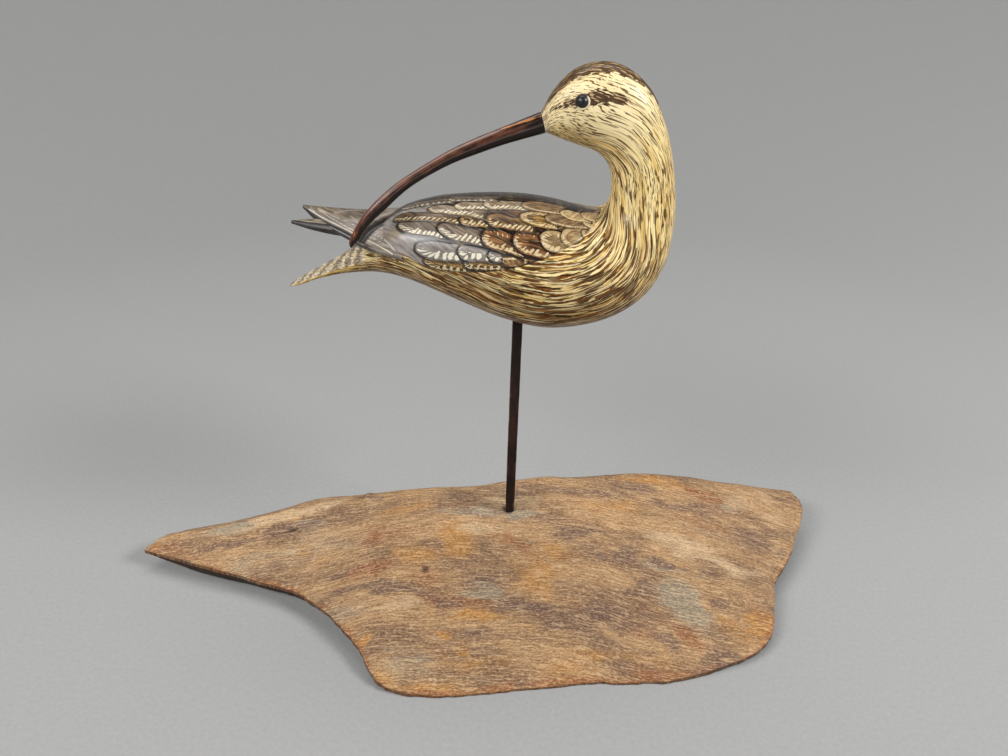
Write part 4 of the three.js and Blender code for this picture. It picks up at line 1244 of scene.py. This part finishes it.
def slab_lines(x, y):
    """Sideways coordinate that the grain keeps: y with slow waves, following the slab's own
    taper on the left and falling a little towards the broken end."""
    taper = 0.16 * np.minimum(x + 60, 0)
    fall = 0.13 * np.maximum(x - 25, 0) * smooth((x - 25) / 40)
    waves = 1.6 * np.sin(x / 47 + y / 31) + 0.7 * np.sin(x / 19 - y / 17)
    return y + fall - taper + waves


def cloud_field(x, y, cloud):
    """Share of one cloud at each point: its strength in the heart of an ellipse, fading past its rim."""
    cx, cy, long, wide, turn, strength = cloud
    cos, sin = math.cos(math.radians(turn)), math.sin(math.radians(turn))
    u = ((x - cx) * cos + (y - cy) * sin) / long
    v = (-(x - cx) * sin + (y - cy) * cos) / wide
    return strength * smooth((1.6 - np.hypot(u, v)) / 1.3)


def slab_top(s, v):
    """Top of the slab: from the front edge up to the ridge at RIDGE_SHARE, then down to the back edge."""
    row = along(SLAB, s)
    front, ridge, back = row[..., 0:3], row[..., 3:6], row[..., 6:9]
    f = np.clip(v / RIDGE_SHARE, 0, 1)
    g = np.clip((v - RIDGE_SHARE) / (1 - RIDGE_SHARE), 0, 1)
    ripple = 0.7 * slab_scale * np.sin(np.pi * f) * np.sin(2.1 * s + 5 * f)
    rise = front[..., 2] + (ridge[..., 2] - front[..., 2]) * (1 - (1 - f) ** 1.3) + ripple
    fall = ridge[..., 2] + (back[..., 2] - ridge[..., 2]) * (1 - np.cos(g * np.pi / 2))
    on_front = (v < RIDGE_SHARE)[..., None]
    way = np.where(on_front, f[..., None], g[..., None])
    place = np.where(on_front, front + (ridge - front) * way, ridge + (back - ridge) * way)
    x, y = place[..., 0], place[..., 1]
    x = x + 3.2 * slab_scale * smooth((s - 15.2) / 0.8) * np.sin(np.pi * np.clip(0.15 + 0.8 * v, 0, 1)) ** 2
    return np.stack([x, y, np.where(v < RIDGE_SHARE, rise, fall)], -1)


def slab_under(s, v):
    """Underside: flat in the middle, turning up to the worn edges with the ninth power of the
    way out from its middle line."""
    row = along(SLAB, s)
    front, back = row[..., 0:3], row[..., 6:9]
    middle = np.maximum(0, row[..., 9])
    edge = np.maximum(np.maximum(middle, front[..., 2] + (back[..., 2] - front[..., 2]) * v - SLAB_EDGE), 0)
    turn = np.abs(2 * v - 1) ** 9
    x = front[..., 0] + (back[..., 0] - front[..., 0]) * v
    y = front[..., 1] + (back[..., 1] - front[..., 1]) * v
    return np.stack([x, y, middle + (edge - middle) * turn], -1)


def slab_relief(x, y, v):
    """Depth in mm worn off the slab's top, and the dark share of its crack, knot and rod dish.

    Furrows 2.2 mm and 1 mm wide run along the grain on a slow wave and fade at the rims.
    The valley lies below the pale crest, and the low bumps stand up.
    """
    lines = slab_lines(x, y)
    furrows = 0.35 * noise(x / 22, lines / 2.2, 1) + 0.2 * noise(x / 7, lines / 1.0, 2) - 0.27
    wave = 1.5 * noise(x / 42, lines / 15, 3) - 0.75 + VALLEY[5] * furrow(x, y, *VALLEY[:5], 2)
    crack = furrow(x, y, *CRACK[:5], 4)
    knot = hollow(x, y, *KNOT[:3], 4)
    dish = hollow(x, y, *ROD_DISH[:3], 6)
    inner = smooth(v / 0.06) * smooth((1 - v) / 0.06)
    depth = (furrows + wave) * inner + CRACK[5] * crack + KNOT[3] * knot + ROD_DISH[3] * dish
    for bump_x, bump_y, long, high in BUMPS:
        depth = depth - high * furrow(x, y, bump_x, bump_y, long, BUMP_WIDTH, 0, 2)
    ring = hollow(x, y, *ROD_DISH[:2], ROD_RING_RADIUS, 6)
    return depth, np.clip(crack + 0.8 * knot + 0.9 * ring, 0, 1)


def rim_wear(s, place):
    """How far in mm each point is pulled over to the back: the front rim is bitten by noise,
    more at the broken end and by one notch there, and the back rim the other way."""
    front = 0.9 * noise(s * 3.1, 0, 5) + 0.6 * noise(s * 11, 0, 6)
    front = front + 2.2 * smooth((s - 12.6) / 1.0) * noise(s * 5, 0, 9)
    front = front + 2.6 * np.exp(-((s - 13.9) / 0.35) ** 2)
    back = 0.8 * noise(s * 2.7, 0, 7) + 0.5 * noise(s * 9, 0, 8)
    return front * (1 - smooth(place / 0.12)) - back * smooth((place - 0.88) / 0.12)


def slab_colours(x, y, s, place):
    """Shares of the five kinds of cloud, their places warped by noise, with rust along the rims."""
    warped_x = x + 9 * (noise(x / 13, y / 8, 11) - 0.5) + 3 * (noise(x / 4, y / 3, 12) - 0.5)
    warped_y = y + 7 * (noise(x / 15, y / 7, 13) - 0.5) + 2.4 * (noise(x / 4, y / 2.5, 14) - 0.5)
    marks = {}
    for name, clouds in CLOUDS.items():
        marks[name] = np.max([cloud_field(warped_x, warped_y, cloud) for cloud in clouds], axis=0)
    rim = np.maximum(1 - place / 0.04, (place - 0.96) / 0.04) * (0.5 + noise(s * 6, 0, 15))
    marks["red"] = np.maximum(marks["red"], 0.6 * smooth(rim))
    marks["ochre"] = np.maximum(marks["ochre"], 0.35 * smooth(rim))
    return marks


def make_slab(material):
    """The slab as rings from its pointed tip to its broken end.

    Each ring runs over the top, round the back rim, along the underside and round the
    front rim. Place is 0 at the front and 1 at the back, and the rims are pulled in
    towards the middle line.
    """
    s = np.linspace(0, LAST_SLAB_ROW, SLAB_RINGS)[:, None]
    v_top = 0.5 - 0.5 * np.cos(np.linspace(0.02, np.pi - 0.02, SLAB_TOP_SIDES))[None, :]
    v_top = 0.35 * v_top + 0.65 * np.linspace(0, 1, SLAB_TOP_SIDES)[None, :]
    v_under = np.linspace(1, 0, SLAB_UNDER_SIDES)[None, :]
    top = slab_top(s, v_top)
    under = slab_under(s, v_under)
    depth, groove = slab_relief(top[..., 0], top[..., 1], v_top)
    top[..., 2] -= depth
    under[..., 2] += 0.5 * noise(under[..., 0] / 30, under[..., 1] / 3, 4) * smooth(under[..., 2] / 2)
    blend = np.linspace(0, 1, SLAB_EDGE_SIDES + 2)[None, 1:-1, None]
    back_rim = top[:, -1:] * (1 - blend) + under[:, :1] * blend
    front_rim = under[:, -1:] * (1 - blend) + top[:, :1] * blend
    grid = np.concatenate([top, back_rim, under, front_rim], 1)

    rim_side = np.ones((1, SLAB_EDGE_SIDES))
    place = np.concatenate([v_top, rim_side, v_under, 0 * rim_side], 1)
    row = along(SLAB, s)
    inward = row[..., 6:8] - row[..., 0:2]
    inward = inward / np.linalg.norm(inward, axis=-1, keepdims=True)
    grid[..., :2] += inward * rim_wear(s, place)[..., None]

    x, y = grid[..., 0], grid[..., 1]
    marks = slab_colours(x, y, s, place)
    # below: painted shade on the underside and on the rims.
    below = np.repeat([0, RIM_SHADE, UNDER_SHADE, RIM_SHADE],
                      [SLAB_TOP_SIDES, SLAB_EDGE_SIDES, SLAB_UNDER_SIDES, SLAB_EDGE_SIDES])
    marks["below"] = below + 0 * s
    marks["groove"] = np.pad(groove, ((0, 0), (0, len(below) - SLAB_TOP_SIDES)))
    flow = np.stack([x, slab_lines(x, y) + UNDER_FLOW * (below > 0)], -1)
    flow = np.concatenate([flow, flow[:, :1]], 1)
    loft("driftwood_slab", grid, material, ["driftwood_base"], flow, marks)


# Stage, light and camera

STAGE_RADIUS = 0.62
STAGE_SWEEP = 0.9
STAGE_RINGS = 24
STAGE_SIDES = 128


def make_stage(material):
    """Round sheet of paper: flat to STAGE_RADIUS, then rising as a quarter circle, metres."""
    angle = once_round(STAGE_SIDES)[None, :]
    flat = np.linspace(0.0005, STAGE_RADIUS, STAGE_RINGS)
    bend = np.linspace(0, np.pi / 2, STAGE_RINGS)[1:]
    radius = np.concatenate([flat, STAGE_RADIUS + STAGE_SWEEP * np.sin(bend)])[:, None]
    height = np.concatenate([0 * flat, STAGE_SWEEP * (1 - np.cos(bend))])[:, None]
    points = np.stack([radius * np.cos(angle), radius * np.sin(angle), height + 0 * angle], -1)
    rings, sides = points.shape[:2]
    index = np.arange(rings * sides).reshape(rings, sides)
    beside = np.roll(index, -1, axis=1)
    quads = np.stack([index[:-1], index[1:], beside[1:], beside[:-1]], -1).reshape(-1, 4)
    mesh = bpy.data.meshes.new("paper_ground")
    mesh.from_pydata(points.reshape(-1, 3).tolist(), [], quads.tolist() + [index[0].tolist()])
    mesh.polygons.foreach_set("use_smooth", np.ones(len(mesh.polygons), bool))
    mesh.materials.append(material)
    made = bpy.data.objects.new("paper_ground", mesh)
    bpy.context.scene.collection.objects.link(made)


def softbox(name, place, aim, width, height, power):
    """Soft rectangular light at a place in metres, facing its aim, unseen by the camera itself."""
    lamp = bpy.data.lights.new(name, "AREA")
    lamp.shape = "RECTANGLE"
    lamp.size = width
    lamp.size_y = height
    lamp.energy = power
    made = bpy.data.objects.new(name, lamp)
    made.location = place
    made.rotation_euler = (Vector(aim) - Vector(place)).to_track_quat("-Z", "Y").to_euler()
    made.visible_camera = False
    bpy.context.scene.collection.objects.link(made)


# Lamps: name, place, aim, width, height, watts.
BIRD_MIDDLE = (0, 0, 0.12)
SOFTBOXES = [
    ("left_softbox", (-0.92, -0.62, 1.0), BIRD_MIDDLE, 0.7, 0.45, 13.5),
    ("right_softbox", (1.12, -0.38, 0.96), BIRD_MIDDLE, 0.5, 0.4, 18.0),
    ("front_softbox", (-0.48, -1.0, 0.98), BIRD_MIDDLE, 0.45, 0.4, 3.8),
    ("backdrop_softbox", (0.0, 0.45, 1.35), (0, 0.5, 0.0), 1.2, 0.5, 8.0),
]
ROOM_STRENGTH = 0.02


def light_the_room():
    """Faint even light from all round."""
    world = bpy.data.worlds.new("grey_room")
    world.use_nodes = True
    background = world.node_tree.nodes["Background"]
    background.inputs["Color"].default_value = (1.0, 1.0, 1.0, 1.0)
    background.inputs["Strength"].default_value = ROOM_STRENGTH
    bpy.context.scene.world = world


PHOTO_WIDTH = 1008
FOCAL_PIXELS = 757.0
SENSOR_WIDTH = 36.0
CAMERA_PLACE = (-0.005445, -0.320, 0.2973)
CAMERA_PITCH = 30.0
CAMERA_ROLL = 1.927


def set_camera():
    """Camera at the photograph's place: looking along +y, tipped down and rolled a little."""
    data = bpy.data.cameras.new("camera")
    data.sensor_width = SENSOR_WIDTH
    data.lens = FOCAL_PIXELS / PHOTO_WIDTH * SENSOR_WIDTH
    data.clip_start = 0.01
    made = bpy.data.objects.new("camera", data)
    pitch, roll = math.radians(CAMERA_PITCH), math.radians(CAMERA_ROLL)
    right = Vector((1, 0, 0))
    up = Vector((0, math.sin(pitch), math.cos(pitch)))
    ahead = Vector((0, math.cos(pitch), -math.sin(pitch)))
    rolled_right = right * math.cos(roll) + up * math.sin(roll)
    rolled_up = up * math.cos(roll) - right * math.sin(roll)
    turn = Matrix((rolled_right, rolled_up, -ahead)).transposed()
    made.matrix_world = Matrix.Translation(CAMERA_PLACE) @ turn.to_4x4()
    bpy.context.scene.collection.objects.link(made)
    bpy.context.scene.camera = made


bpy.context.scene.view_settings.view_transform = "Standard"
set_camera()
light_the_room()
for lamp_setting in SOFTBOXES:
    softbox(*lamp_setting)
make_stage(backdrop_paper())

make_body(painted_plumage())
wing_finish = painted_wing()
make_wing("near_wing", 1, wing_finish)
make_wing("far_wing", -1, wing_finish)
make_blade("right_wing_tip", RIGHT_TIP, wing_finish, BLADE_SIDE, True)
make_blade("left_wing_tip", LEFT_TIP, wing_finish, LOWER_BLADE_SIDE, False)
make_eyes(eye_glass(), lid_paint())
make_bill(lacquered_bill())
make_rod(stained_rod())
make_slab(driftwood())
